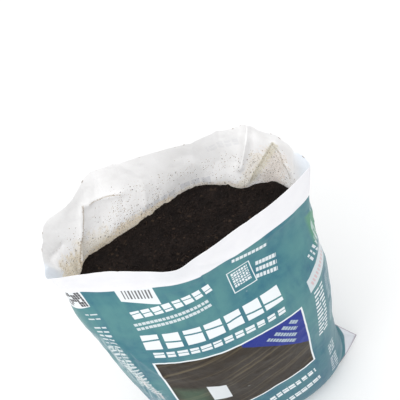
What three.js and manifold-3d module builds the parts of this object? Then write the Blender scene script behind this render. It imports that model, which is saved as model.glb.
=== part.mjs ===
// Compost bag: an opened, side-gusseted film sack of about 25 litres, standing on its base.
// Two pieces: the one-piece heat-sealed film, with its two bottom corner seals, and the soil.
// Frame: millimetres, +Z up, printed front panel towards -Y, base on z = 0.

import * as THREE from "three";
import { mergeVertices } from "three/addons/utils/BufferGeometryUtils.js";
import Module from "manifold-3d";

// Driving dimensions
const FILM_THICKNESS = 0.8;
const SOIL_GAP = 0.4;
const BAND_HEIGHT = 56;
const SOIL_LEVEL = 440;
const SOIL_MOUND = 5;
const SOIL_RIPPLE = 2.5;
const FRONT_PANEL_SHARE = 0.4335;
const CENTRE_SHIFT = new THREE.Vector3(-8, -7, 0);

// Mesh density
const HALF_FRONT_COLUMNS = 14;
const BACK_COLUMNS = 42;
const STEPS_PER_STATION = 2;
const CURVE_STEPS_PER_POINT = 24;
const SOIL_TOP_RINGS = 5;

// Cut rim of the mouth: [x, y, z], anticlockwise from the middle of the front panel.
const RIM = [
  [0, -71, 531], [66, -60, 538], [135, -41, 541], [170, -26, 543], [178, -21, 543],
  [177, -10, 543], [167, 24, 543], [158, 42, 545], [140, 62, 548], [132, 74, 552],
  [109, 80, 548], [20, 93, 546], [-66, 102, 550], [-86, 100, 550], [-118, 74, 545],
  [-155, 64, 542], [-172, 30, 538], [-180, -4, 535], [-179, -14, 535], [-172, -17, 535],
  [-110, -38, 534], [-66, -58, 530], [-27, -74, 528],
];
const RIM_FOLDS = { right: 4, left: 18 };

// Plan outline where the unprinted band ends, one band height below the rim: [x, y].
const NECK = [
  [0, -61], [38, -58], [75, -53], [115, -43], [145, -34], [163, -26], [169, -21],
  [169, 0], [158, 36], [143, 54], [120, 66], [96, 80], [60, 93], [10, 95],
  [-50, 92], [-92, 84], [-124, 66], [-150, 54], [-166, 28], [-173, 6], [-173, -2],
  [-165, -8], [-152, -13], [-126, -26], [-91, -39], [-58, -50], [-30, -58],
];
const NECK_FOLDS = { right: 6, left: 20 };

// Plan outline at the soil level: [x, y].
const SHOULDER = [
  [0, -65], [50, -61], [100, -50], [145, -34], [163, -22], [170, -8], [158, 25],
  [143, 51], [118, 63], [97, 66], [75, 82], [55, 94], [30, 98], [-5, 92],
  [-48, 80], [-90, 69], [-130, 61], [-146, 46], [-162, 22], [-174, -2], [-166, -16],
  [-145, -29], [-100, -46], [-50, -59],
];

// Full body below the soil level, as superellipses round (x, y).
const BODY = [
  { z: 345, x: 3.5, y: 2, halfWidth: 168, front: 86, back: 93, power: 2.3 },
  { z: 245, x: 5.5, y: 0, halfWidth: 163, front: 88, back: 95, power: 2.3 },
  { z: 145, x: 8, y: 0, halfWidth: 155.5, front: 87, back: 93, power: 2.35 },
  { z: 90, x: 11, y: 0, halfWidth: 153, front: 85, back: 90, power: 2.35 },
  { z: 60, x: 13, y: 0, halfWidth: 153, front: 82, back: 87, power: 2.3 },
  { z: 35, x: 13.5, y: 0, halfWidth: 150, front: 77, back: 82, power: 2.3 },
  { z: 15, x: 13.5, y: 0, halfWidth: 142, front: 69, back: 74, power: 2.25 },
  { z: 4, x: 13, y: 0, halfWidth: 134, front: 60, back: 65, power: 2.2 },
  { z: 0, x: 13, y: 0, halfWidth: 125, front: 51, back: 56, power: 2.2 },
];
const BODY_OUTLINE_POINTS = 48;

// Flat triangular corner seals at the foot: top and low ends of the root, and the free tip.
const CORNER_SEAL_THICKNESS = 1.6;
const CORNER_SEAL_REACH = 0.9;
const CORNER_SEALS = [
  { top: [165, 8, 80], tip: [195, -3, 27], low: [157, -28, 5] },
  { top: [-139, 8, 80], tip: [-169, -3, 27], low: [-131, -28, 5] },
];

const COLUMNS = 2 * HALF_FRONT_COLUMNS + BACK_COLUMNS;

const wasm = await Module();
wasm.setup();

// A closed smooth curve through a list of points.
function closedCurve(points) {
  const curve = new THREE.CatmullRomCurve3(points, true, "centripetal");
  curve.arcLengthDivisions = CURVE_STEPS_PER_POINT * points.length;
  return curve;
}

// How far along the girth, from 0 to 1, a control point of a closed curve lies.
function shareOfPoint(curve, index) {
  const lengths = curve.getLengths();
  return lengths[CURVE_STEPS_PER_POINT * index] / lengths[lengths.length - 1];
}

// One ring of film: evenly spaced columns over the front panel, and over the gussets and back.
function filmRing(curve, rightFold, leftFold) {
  const shares = [];
  for (let i = 0; i < HALF_FRONT_COLUMNS; i++) {
    shares.push((rightFold * i) / HALF_FRONT_COLUMNS);
  }
  for (let i = 0; i < BACK_COLUMNS; i++) {
    shares.push(rightFold + ((leftFold - rightFold) * i) / BACK_COLUMNS);
  }
  for (let i = 0; i < HALF_FRONT_COLUMNS; i++) {
    shares.push(leftFold + ((1 - leftFold) * i) / HALF_FRONT_COLUMNS);
  }
  return shares.map((share) => curve.getPointAt(share));
}

function foldedRing(points, folds) {
  const curve = closedCurve(points);
  return filmRing(curve, shareOfPoint(curve, folds.right), shareOfPoint(curve, folds.left));
}

function evenRing(points) {
  return filmRing(closedCurve(points), FRONT_PANEL_SHARE / 2, 1 - FRONT_PANEL_SHARE / 2);
}

// Corner points of a superellipse whose front and back halves differ in depth.
function superellipse({ z, x, y, halfWidth, front, back, power }) {
  const points = [];
  for (let i = 0; i < BODY_OUTLINE_POINTS; i++) {
    const angle = (2 * Math.PI * i) / BODY_OUTLINE_POINTS - Math.PI / 2;
    const across = Math.sign(Math.cos(angle)) * Math.abs(Math.cos(angle)) ** (2 / power);
    const along = Math.sign(Math.sin(angle)) * Math.abs(Math.sin(angle)) ** (2 / power);
    const depth = along > 0 ? back : front;
    points.push(new THREE.Vector3(x + halfWidth * across, y + depth * along, z));
  }
  return points;
}

// The outer skin at every station, from the rim down to the base.
function stationRings() {
  const rim = foldedRing(RIM.map((point) => new THREE.Vector3(...point)), RIM_FOLDS);
  const neck = foldedRing(NECK.map(([x, y]) => new THREE.Vector3(x, y, 0)), NECK_FOLDS);
  neck.forEach((point, column) => point.setZ(rim[column].z - BAND_HEIGHT));
  const shoulder = evenRing(SHOULDER.map(([x, y]) => new THREE.Vector3(x, y, SOIL_LEVEL)));
  return [rim, neck, shoulder, ...BODY.map((station) => evenRing(superellipse(station)))];
}

// Rings between the stations, on a smooth curve down each column of film.
function smoothRings(stations) {
  const columns = stations[0].map(
    (_, column) => new THREE.CatmullRomCurve3(stations.map((ring) => ring[column]), false, "centripetal"),
  );
  const last = (stations.length - 1) * STEPS_PER_STATION;
  const rings = [];
  for (let step = 0; step <= last; step++) {
    rings.push(columns.map((curve) => curve.getPoint(step / last)));
  }
  return rings;
}

// A ring moved inwards in its own plane, square to its edges.
function insetRing(ring, distance) {
  return ring.map((point, i) => {
    const before = ring.at(i - 1);
    const after = ring[(i + 1) % ring.length];
    const inward = new THREE.Vector3(before.y - after.y, after.x - before.x, 0).normalize();
    return point.clone().addScaledVector(inward, distance);
  });
}

// Triangles between two rings of vertex numbers, split along one diagonal or the other.
function wallTriangles(upper, lower, otherDiagonal) {
  const triangles = [];
  for (let i = 0; i < COLUMNS; i++) {
    const j = (i + 1) % COLUMNS;
    const [first, second] = otherDiagonal ? [upper + i, lower + j] : [upper + j, lower + i];
    triangles.push(lower + i, lower + j, first);
    triangles.push(second, upper + j, upper + i);
  }
  return triangles;
}

// A closed body whose skin runs through rings in order and ends on one point at either end.
// Rings that climb back up inside a hollow keep the diagonals of the skin outside them.
function bodyFromRings(rings, firstCentre, lastCentre, climbingRings = 0) {
  const triangles = [];
  rings.slice(1).forEach((_, i) => {
    triangles.push(...wallTriangles(i * COLUMNS, (i + 1) * COLUMNS, i + 1 < climbingRings));
  });
  const first = rings.length * COLUMNS;
  const lastRing = first - COLUMNS;
  for (let i = 0; i < COLUMNS; i++) {
    const j = (i + 1) % COLUMNS;
    triangles.push(first, i, j);
    triangles.push(first + 1, lastRing + j, lastRing + i);
  }
  const geometry = new THREE.BufferGeometry();
  geometry.setFromPoints([...rings.flat(), firstCentre, lastCentre]);
  geometry.setIndex(triangles);
  return geometry;
}

// A flat plate with the given corners, all in one plane.
function plate(corners, thickness) {
  const [a, b, c] = corners;
  const normal = b.clone().sub(a).cross(c.clone().sub(a)).normalize();
  const count = corners.length;
  const front = corners.map((corner) => corner.clone().addScaledVector(normal, thickness / 2));
  const back = corners.map((corner) => corner.clone().addScaledVector(normal, -thickness / 2));
  const triangles = [];
  for (let i = 1; i < count - 1; i++) {
    triangles.push(0, i, i + 1);
    triangles.push(count, count + i + 1, count + i);
  }
  for (let i = 0; i < count; i++) {
    const j = (i + 1) % count;
    triangles.push(i, count + i, count + j);
    triangles.push(i, count + j, j);
  }
  return new THREE.BufferGeometry().setFromPoints([...front, ...back]).setIndex(triangles);
}

function toSolid(geometry) {
  const merged = mergeVertices(geometry);
  const vertProperties = merged.attributes.position.array;
  const triVerts = new Uint32Array(merged.index.array);
  return new wasm.Manifold(new wasm.Mesh({ numProp: 3, vertProperties, triVerts }));
}

function toGeometry(solid) {
  const { vertProperties, triVerts } = solid.getMesh();
  const geometry = new THREE.BufferGeometry();
  geometry.setAttribute("position", new THREE.BufferAttribute(vertProperties, 3));
  geometry.setIndex(new THREE.BufferAttribute(triVerts, 1));
  geometry.computeVertexNormals();
  return geometry;
}

function middleOf(ring) {
  const sum = ring.reduce((total, point) => total.add(point), new THREE.Vector3());
  return sum.divideScalar(ring.length);
}

// The film: outer skin up from the base, over the cut rim and down inside to the floor.
function filmShell(outer) {
  const inner = outer.map((ring) => insetRing(ring, FILM_THICKNESS));
  inner.at(-1).forEach((point) => point.setZ(FILM_THICKNESS));
  const rings = [...inner.toReversed(), ...outer];
  const floor = middleOf(inner.at(-1));
  return toSolid(bodyFromRings(rings, floor, middleOf(outer.at(-1)), inner.length));
}

// A corner seal, carried on into the wall and cut off in the middle of the film.
function cornerSeal({ top, tip, low }, core) {
  const rootTop = new THREE.Vector3(...top);
  const rootLow = new THREE.Vector3(...low);
  const freeTip = new THREE.Vector3(...tip);
  const inward = rootTop.clone().add(rootLow).divideScalar(2).sub(freeTip);
  inward.multiplyScalar(CORNER_SEAL_REACH);
  const corners = [freeTip, rootLow, rootLow.clone().add(inward), rootTop.clone().add(inward), rootTop];
  return toSolid(plate(corners, CORNER_SEAL_THICKNESS)).subtract(core);
}

// The outer skin's full volume below the soil level, half a film thickness in.
function wallCore(outer) {
  const rings = outer.slice(2 * STEPS_PER_STATION).map((ring) => insetRing(ring, FILM_THICKNESS / 2));
  rings.at(-1).forEach((point) => point.setZ(FILM_THICKNESS / 2));
  return toSolid(bodyFromRings(rings, middleOf(rings[0]), middleOf(rings.at(-1))));
}

function filmBag(outer) {
  const core = wallCore(outer);
  const seals = CORNER_SEALS.map((seal) => cornerSeal(seal, core));
  return toGeometry(seals.reduce((film, seal) => film.add(seal), filmShell(outer)));
}

// Height of the loose soil above its level, fading to nothing at the film.
function soilRise(x, y, inwardShare) {
  const ripple = SOIL_RIPPLE * Math.sin(x / 31) * Math.cos(y / 24);
  return (SOIL_MOUND + ripple) * Math.sin((inwardShare * Math.PI) / 2);
}

// The soil: follows the film inside, up to its level, with a gently uneven top.
function soilFill(outer) {
  const gap = FILM_THICKNESS + SOIL_GAP;
  const walls = outer.slice(2 * STEPS_PER_STATION).map((ring) => insetRing(ring, gap));
  walls.at(-1).forEach((point) => point.setZ(gap));
  const centre = middleOf(walls[0]);
  const topRings = [];
  for (let i = SOIL_TOP_RINGS; i >= 1; i--) {
    const inwardShare = i / (SOIL_TOP_RINGS + 1);
    topRings.push(
      walls[0].map((point) => {
        const moved = point.clone().lerp(centre, inwardShare);
        return moved.setZ(point.z + soilRise(moved.x, moved.y, inwardShare));
      }),
    );
  }
  const peak = centre.clone().setZ(centre.z + soilRise(centre.x, centre.y, 1));
  return toGeometry(toSolid(bodyFromRings([...topRings, ...walls], peak, middleOf(walls.at(-1)))));
}

const outerSkin = smoothRings(stationRings());

const filmMaterial = new THREE.MeshStandardMaterial({ color: 0x4f8a92, roughness: 0.35, metalness: 0 });
const soilMaterial = new THREE.MeshStandardMaterial({ color: 0x1f1511, roughness: 0.95, metalness: 0 });

const film = new THREE.Mesh(filmBag(outerSkin), filmMaterial);
film.name = "film_bag";
const soil = new THREE.Mesh(soilFill(outerSkin), soilMaterial);
soil.name = "soil";

const compostBag = new THREE.Group();
compostBag.add(film, soil);
compostBag.position.copy(CENTRE_SHIFT);

export default compostBag;
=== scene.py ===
"""An opened, side-gusseted film sack of dark soil, its printed front towards -Y.

Sizes are millimetres unless a name says otherwise. A place on the film is given by two lengths:
across, the distance round the girth from the middle of the front panel, and down, the distance
below the cut rim. Around is the same as across, counted from 0 to the whole girth.
"""

import logging
import math
from dataclasses import dataclass, field
from enum import Enum

import bmesh
import bpy
import numpy as np
from mathutils import Matrix, Vector


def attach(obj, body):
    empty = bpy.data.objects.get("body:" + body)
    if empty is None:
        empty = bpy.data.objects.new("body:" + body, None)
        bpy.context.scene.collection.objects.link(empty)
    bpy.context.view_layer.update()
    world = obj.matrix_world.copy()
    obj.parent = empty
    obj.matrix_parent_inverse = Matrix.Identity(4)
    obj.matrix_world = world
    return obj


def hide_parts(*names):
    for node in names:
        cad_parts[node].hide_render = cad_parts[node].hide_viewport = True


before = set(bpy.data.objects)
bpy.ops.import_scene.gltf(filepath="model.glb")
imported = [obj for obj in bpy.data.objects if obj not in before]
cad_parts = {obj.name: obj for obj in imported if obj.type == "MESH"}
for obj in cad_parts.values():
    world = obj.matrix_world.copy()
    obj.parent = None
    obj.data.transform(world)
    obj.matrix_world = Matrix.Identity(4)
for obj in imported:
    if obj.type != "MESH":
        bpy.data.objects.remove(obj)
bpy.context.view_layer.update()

LOG = logging.getLogger("compost_bag")

MM = 0.001
GIRTH = 872.0
FRONT_WIDTH = 378.0
CHART_DEPTH = 640.0
CENTRE_SHIFT = np.array((-8.0, -7.0, 0.0))
SOIL_LEVEL = 440.0
BAND_DEPTH = 58.0
NECK_DROP = 56.0
FOOT_START = 4.0
FOOT_FADE = 40.0
SHARP_ANGLE = math.radians(52)
NO_LENGTH = 1e-6
LATTICE_STEPS = (73856093, 19349663, 83492791)
LATTICE_SEED_STEP = 7919
LATTICE_MIX = 1274126177
MIX_SHARE, MIX_FIRST, MIX_SECOND, MIX_RESULT = 0, 6, 7, 2

Colour = tuple[float, float, float, float]
Path = tuple[tuple[float, float], ...]
Zone = tuple[float, float, float, float]


def srgb(red: float, green: float, blue: float) -> Colour:
    """A colour from its screen values.

    Args:
        red: Red from 0 to 255.
        green: Green from 0 to 255.
        blue: Blue from 0 to 255.

    Returns:
        The linear colour with full alpha.
    """
    linear = []
    for value in (red, green, blue):
        share = value / 255
        linear.append(share / 12.92 if share <= 0.04045 else ((share + 0.055) / 1.055) ** 2.4)
    return (linear[0], linear[1], linear[2], 1.0)


def lattice_noise(points: np.ndarray, seed: int) -> np.ndarray:
    """Smooth random values on a cubic lattice.

    Args:
        points: Places in units of the grain size, the last axis holding three numbers.
        seed: Which pattern to use.

    Returns:
        Values from -1 to 1, one for each place.
    """
    base = np.floor(points).astype(np.int64)
    part = points - base
    fade = part**3 * (part * (part * 6 - 15) + 10)
    total = np.zeros(points.shape[:-1])
    for corner in np.ndindex(2, 2, 2):
        cell = base + np.array(corner)
        steps = cell * np.array(LATTICE_STEPS)
        number = steps[..., 0] ^ steps[..., 1] ^ steps[..., 2]
        number = (number ^ (seed * LATTICE_SEED_STEP + 101)) & 0x7FFFFFFF
        number = ((number ^ (number >> 13)) * LATTICE_MIX) & 0x7FFFFFFF
        number = (number ^ (number >> 16)) & 0xFFFF
        weight = np.prod(np.where(np.array(corner) == 1, fade, 1 - fade), axis=-1)
        total += weight * (number / 32767.5 - 1)
    return total


def trapezoid(values: np.ndarray, zone: Zone) -> np.ndarray:
    """A smooth weight that is 1 inside a zone and 0 outside it.

    Args:
        values: The lengths to weigh.
        zone: Where the weight starts, is full, stops being full and ends.

    Returns:
        Weights from 0 to 1.
    """
    start, full, last, end = zone
    rising = np.clip((values - start) / max(full - start, NO_LENGTH), 0, 1)
    falling = np.clip((end - values) / max(end - last, NO_LENGTH), 0, 1)
    share = np.minimum(rising, falling)
    return share * share * (3 - 2 * share)


def smooth_curve(points: np.ndarray, closed: bool, steps: int) -> np.ndarray:
    """A centripetal curve through points, which may themselves be whole rings of points.

    Args:
        points: The points, one for each index of the first axis.
        closed: Whether the curve comes back to its start.
        steps: How many parts each span is cut into.

    Returns:
        The points along the curve.
    """
    count = len(points)

    def pick(index: int) -> np.ndarray:
        """Pick a point, or carry the curve on past an open end.

        Args:
            index: The point's number, which may lie outside the list.

        Returns:
            The point.
        """
        if closed:
            return points[index % count]
        if index < 0:
            return 2 * points[0] - points[1]
        return points[index] if index < count else 2 * points[-1] - points[-2]

    def gap(first: np.ndarray, second: np.ndarray) -> np.ndarray:
        """The square root of the distance between two points."""
        reach = np.sum((second - first) ** 2, axis=-1, keepdims=True) ** 0.25
        return np.where(reach < 1e-4, 1.0, reach)

    made = []
    for span in range(count if closed else count - 1):
        p0, p1, p2, p3 = (pick(span + offset) for offset in (-1, 0, 1, 2))
        d0, d1, d2 = gap(p0, p1), gap(p1, p2), gap(p2, p3)
        leave = ((p1 - p0) / d0 - (p2 - p0) / (d0 + d1) + (p2 - p1) / d1) * d1
        arrive = ((p2 - p1) / d1 - (p3 - p1) / (d1 + d2) + (p3 - p2) / d2) * d1
        for step in range(steps):
            t = step / steps
            made.append(
                (2 * t**3 - 3 * t**2 + 1) * p1
                + (t**3 - 2 * t**2 + t) * leave
                + (3 * t**2 - 2 * t**3) * p2
                + (t**3 - t**2) * arrive
            )
    if not closed:
        made.append(points[-1])
    return np.array(made)


def path_distance(around: np.ndarray, down: np.ndarray, path: Path) -> np.ndarray:
    """Distance from places on the film to a path drawn on it.

    Args:
        around: Where each place lies round the girth.
        down: How far each place lies below the rim.
        path: The corners of the path, as around and down.

    Returns:
        The distances.
    """
    nearest = np.full(around.shape, 1e6)
    for (ax, ay), (bx, by) in zip(path[:-1], path[1:]):
        length = (bx - ax) ** 2 + (by - ay) ** 2
        share = np.clip(((around - ax) * (bx - ax) + (down - ay) * (by - ay)) / length, 0, 1)
        reach = np.hypot(around - ax - share * (bx - ax), down - ay - share * (by - ay))
        nearest = np.minimum(nearest, reach)
    return nearest


class Draft:
    """The vertices and faces of one piece while it is being built."""

    def __init__(self) -> None:
        """Start with nothing."""
        self.points: list[np.ndarray] = []
        self.count = 0
        self.faces: list[list[int]] = []
        self.charts: list[tuple[float, float]] = []
        self.finishes: list[int] = []

    def add(self, points: np.ndarray) -> np.ndarray:
        """Add points.

        Args:
            points: One point or a row of points.

        Returns:
            The new vertex numbers.
        """
        rows = np.atleast_2d(points)
        self.points.append(rows)
        self.count += len(rows)
        return np.arange(self.count - len(rows), self.count)

    def face(self, corners: list[int], chart: list[tuple[float, float]], finish: int) -> None:
        """Add one face.

        Args:
            corners: Its vertex numbers.
            chart: Its corners on the chart of the film.
            finish: The number of its finish.
        """
        self.faces.append(corners)
        self.charts.extend(chart)
        self.finishes.append(finish)

    def band(
        self,
        upper: np.ndarray,
        lower: np.ndarray,
        inward: bool = False,
        finish: int | np.ndarray = 0,
        columns: np.ndarray | None = None,
        depths: tuple[np.ndarray, np.ndarray] | None = None,
    ) -> None:
        """Join two closed rings of vertices with quads.

        Args:
            upper: Vertex numbers of the upper ring.
            lower: Vertex numbers of the lower ring.
            inward: Whether the faces look at the axis instead of away from it.
            finish: The number of the finish, or one number for each column.
            columns: Chart position of both sides of each column.
            depths: Chart position of the upper and the lower ring at each column.
        """
        count = len(upper)
        finishes = np.broadcast_to(finish, count)
        for i in range(count):
            j = (i + 1) % count
            corners = [(upper, 0, i), (lower, 1, i), (lower, 1, j), (upper, 0, j)]
            if inward:
                corners = [corners[k] for k in (0, 3, 2, 1)]
            chart = [(0.0, 0.0)] * 4
            if columns is not None and depths is not None:
                chart = [(columns[i, int(k != i)], depths[side][k]) for _, side, k in corners]
            self.face([int(ring[k]) for ring, _, k in corners], chart, int(finishes[i]))

    def cap(self, ring: np.ndarray, centre: int, inward: bool = False, finish: int = 0) -> None:
        """Close a ring with triangles that meet at one vertex.

        Args:
            ring: Vertex numbers of the ring.
            centre: The vertex in its middle.
            inward: Whether the faces look the other way.
            finish: The number of the finish.
        """
        count = len(ring)
        for i in range(count):
            corners = [int(ring[i]), centre, int(ring[(i + 1) % count])]
            if inward:
                corners.reverse()
            self.face(corners, [(0.0, 0.0)] * 3, finish)

    def piece(self, name: str, finishes: list[bpy.types.Material]) -> bpy.types.Object:
        """Turn the draft into an object in metres.

        Args:
            name: The piece's name.
            finishes: Its materials, in the order of the finish numbers.

        Returns:
            The new object.
        """
        mesh = bpy.data.meshes.new(name)
        mesh.from_pydata((np.vstack(self.points) * MM).tolist(), [], self.faces)
        layer = mesh.uv_layers.new(name="film")
        layer.data.foreach_set("uv", np.array(self.charts, dtype=np.float32).ravel())
        for finish in finishes:
            mesh.materials.append(finish)
        mesh.polygons.foreach_set("material_index", self.finishes)
        mesh.polygons.foreach_set("use_smooth", [True] * len(self.faces))
        mesh.set_sharp_from_angle(angle=SHARP_ANGLE)
        mesh.update()
        piece = bpy.data.objects.new(name, mesh)
        bpy.context.scene.collection.objects.link(piece)
        return piece


# ---------------------------------------------------------------------------------------------
# The shape of the film


@dataclass(frozen=True)
class Outline:
    """A plan outline of the film, anticlockwise from the middle of the front panel."""

    points: tuple[tuple[float, ...], ...]
    folds: tuple[int, int] | None = None


@dataclass(frozen=True)
class Girth:
    """The body's outline at one height, a superellipse with unlike front and back."""

    height: float
    x: float
    y: float
    half_width: float
    front: float
    back: float
    power: float

    def outline(self, count: int = 48) -> Outline:
        """Cut the superellipse into points.

        Args:
            count: How many points.

        Returns:
            The outline without marked folds.
        """
        angle = 2 * np.pi * np.arange(count) / count - np.pi / 2
        c, s = np.cos(angle), np.sin(angle)
        across = self.x + self.half_width * np.sign(c) * np.abs(c) ** (2 / self.power)
        depth = np.where(s > 0, self.back, self.front)
        along = self.y + depth * np.sign(s) * np.abs(s) ** (2 / self.power)
        return Outline(tuple(zip(across.tolist(), along.tolist())))


RIM = Outline(
    (
        (0, -71, 531), (66, -60, 538), (135, -41, 541), (170, -26, 543), (178, -21, 543),
        (177, -10, 543), (167, 24, 543), (158, 42, 545), (140, 62, 548), (132, 74, 552),
        (109, 80, 548), (20, 93, 546), (-66, 102, 550), (-86, 100, 550), (-118, 74, 545),
        (-155, 64, 542), (-172, 30, 538), (-180, -4, 535), (-179, -14, 535), (-172, -17, 535),
        (-110, -38, 534), (-66, -58, 530), (-27, -74, 528),
    ),
    (4, 18),
)
NECK = Outline(
    (
        (0, -61), (38, -58), (75, -53), (115, -43), (145, -34), (163, -26), (169, -21),
        (169, 0), (158, 36), (143, 54), (120, 66), (96, 80), (60, 93), (10, 95),
        (-50, 92), (-92, 84), (-124, 66), (-150, 54), (-166, 28), (-173, 6), (-173, -2),
        (-165, -8), (-152, -13), (-126, -26), (-91, -39), (-58, -50), (-30, -58),
    ),
    (6, 20),
)
SHOULDER = Outline(
    (
        (0, -65), (50, -61), (100, -50), (145, -34), (163, -22), (170, -8), (158, 25),
        (143, 51), (118, 63), (97, 66), (75, 82), (55, 94), (30, 98), (-5, 92),
        (-48, 80), (-90, 69), (-130, 61), (-146, 46), (-162, 22), (-174, -2), (-166, -16),
        (-145, -29), (-100, -46), (-50, -59),
    )
)
BODY = (
    Girth(345, 3.5, 2, 168, 86, 93, 2.3),
    Girth(245, 5.5, 0, 163, 88, 95, 2.3),
    Girth(145, 8, 0, 155.5, 87, 93, 2.35),
    Girth(90, 11, 0, 153, 85, 90, 2.35),
    Girth(60, 13, 0, 153, 82, 87, 2.3),
    Girth(35, 13.5, 0, 150, 77, 82, 2.3),
    Girth(15, 13.5, 0, 142, 69, 74, 2.25),
    Girth(4, 13, 0, 134, 60, 65, 2.2),
    Girth(0, 13, 0, 125, 51, 56, 2.2),
)


@dataclass(frozen=True)
class Wave:
    """One layer of unevenness in the film."""

    across: float
    down: float
    height: float
    seed: int
    zone: Zone
    side: Zone = (-2.0, -1.0, 1000.0, 1001.0)
    creased: bool = False


@dataclass(frozen=True)
class Crease:
    """A fold line pressed into the film, positive where it stands out of the bag."""

    path: Path
    height: float
    width: float


BACK_FILM: Zone = (190.0, 230.0, 640.0, 682.0)
FREE_FILM: Zone = (-2.0, -1.0, 92.0, 118.0)
PACKED_FILM: Zone = (95.0, 150.0, 480.0, 545.0)
WAVES = (
    Wave(74, 96, 0.9, 11, FREE_FILM),
    Wave(30, 52, 0.5, 12, FREE_FILM, creased=True),
    Wave(70, 90, 2.4, 22, FREE_FILM, BACK_FILM),
    Wave(34, 60, 1.6, 23, FREE_FILM, BACK_FILM, True),
    Wave(13, 30, 0.7, 13, FREE_FILM, BACK_FILM, True),
    Wave(24, 70, 1.4, 14, (-2.0, -1.0, 8.0, 38.0), BACK_FILM),
    Wave(120, 130, 3.2, 15, PACKED_FILM),
    Wave(44, 60, 1.3, 16, PACKED_FILM),
    Wave(17, 24, 0.5, 17, PACKED_FILM, creased=True),
    Wave(7, 78, 1.5, 18, (150.0, 185.0, 320.0, 360.0), (668.0, 684.0, 728.0, 742.0), True),
    Wave(11, 90, 1.6, 19, (60.0, 100.0, 500.0, 560.0), (182.0, 200.0, 300.0, 340.0), True),
    Wave(11, 90, 1.6, 20, (60.0, 100.0, 500.0, 560.0), (560.0, 600.0, 664.0, 684.0), True),
    Wave(6, 16, 1.5, 21, (84.0, 96.0, 112.0, 124.0), (425.0, 432.0, 478.0, 486.0), True),
)
RIDGE_LEVEL = 0.35
RIDGE_STEEPNESS = 1.4
CREASE_RADIUS = 0.9
CREASES = (
    Crease(((297, 0), (303, 20), (309, 36), (316, 56), (322, 74)), -6.0, 4.4),
    Crease(((264, 19), (273, 34), (284, 52), (293, 73), (299, 89), (315, 105)), -1.6, 5.4),
    Crease(((264, 19), (261, 41), (254, 53), (244, 61), (231, 65)), -1.7, 5.4),
    Crease(((609, 101), (599, 92), (593, 70), (577, 47), (555, 23), (548, 30)), -4.0, 4.4),
    Crease(((548, 30), (535, 38), (518, 51), (505, 56)), -3.0, 4.4),
    Crease(((618, 48), (632, 38), (645, 30)), 4.2, 4.4),
    Crease(((664, 6), (655, 60), (640, 104)), -5.0, 7.0),
    Crease(((628, 0), (634, 52), (624, 100)), -2.8, 5.0),
    Crease(((474, 0), (466, 40), (478, 96)), -2.6, 5.0),
    Crease(((376, 0), (386, 50), (372, 100)), -3.0, 5.0),
    Crease(((340, 0), (352, 60), (344, 104)), 3.0, 5.0),
    Crease(((223, 4), (232, 60), (226, 104)), -3.4, 5.0),
    Crease(((187, 92), (183, 120), (176, 137), (170, 164)), 3.4, 3.2),
    Crease(((196, 60), (205, 130), (212, 220)), -2.4, 6.0),
    Crease(((868, 60), (846, 67), (815, 72)), 1.6, 5.0),
    Crease(((2, 26), (20, 44), (60, 60), (100, 66), (150, 62)), 1.5, 5.0),
    Crease(((700, 176), (716, 232), (734, 300)), 2.4, 3.2),
    Crease(((690, 196), (704, 262), (716, 330)), -2.2, 3.2),
    Crease(((712, 150), (736, 200), (758, 262)), 1.6, 3.4),
)


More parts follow.
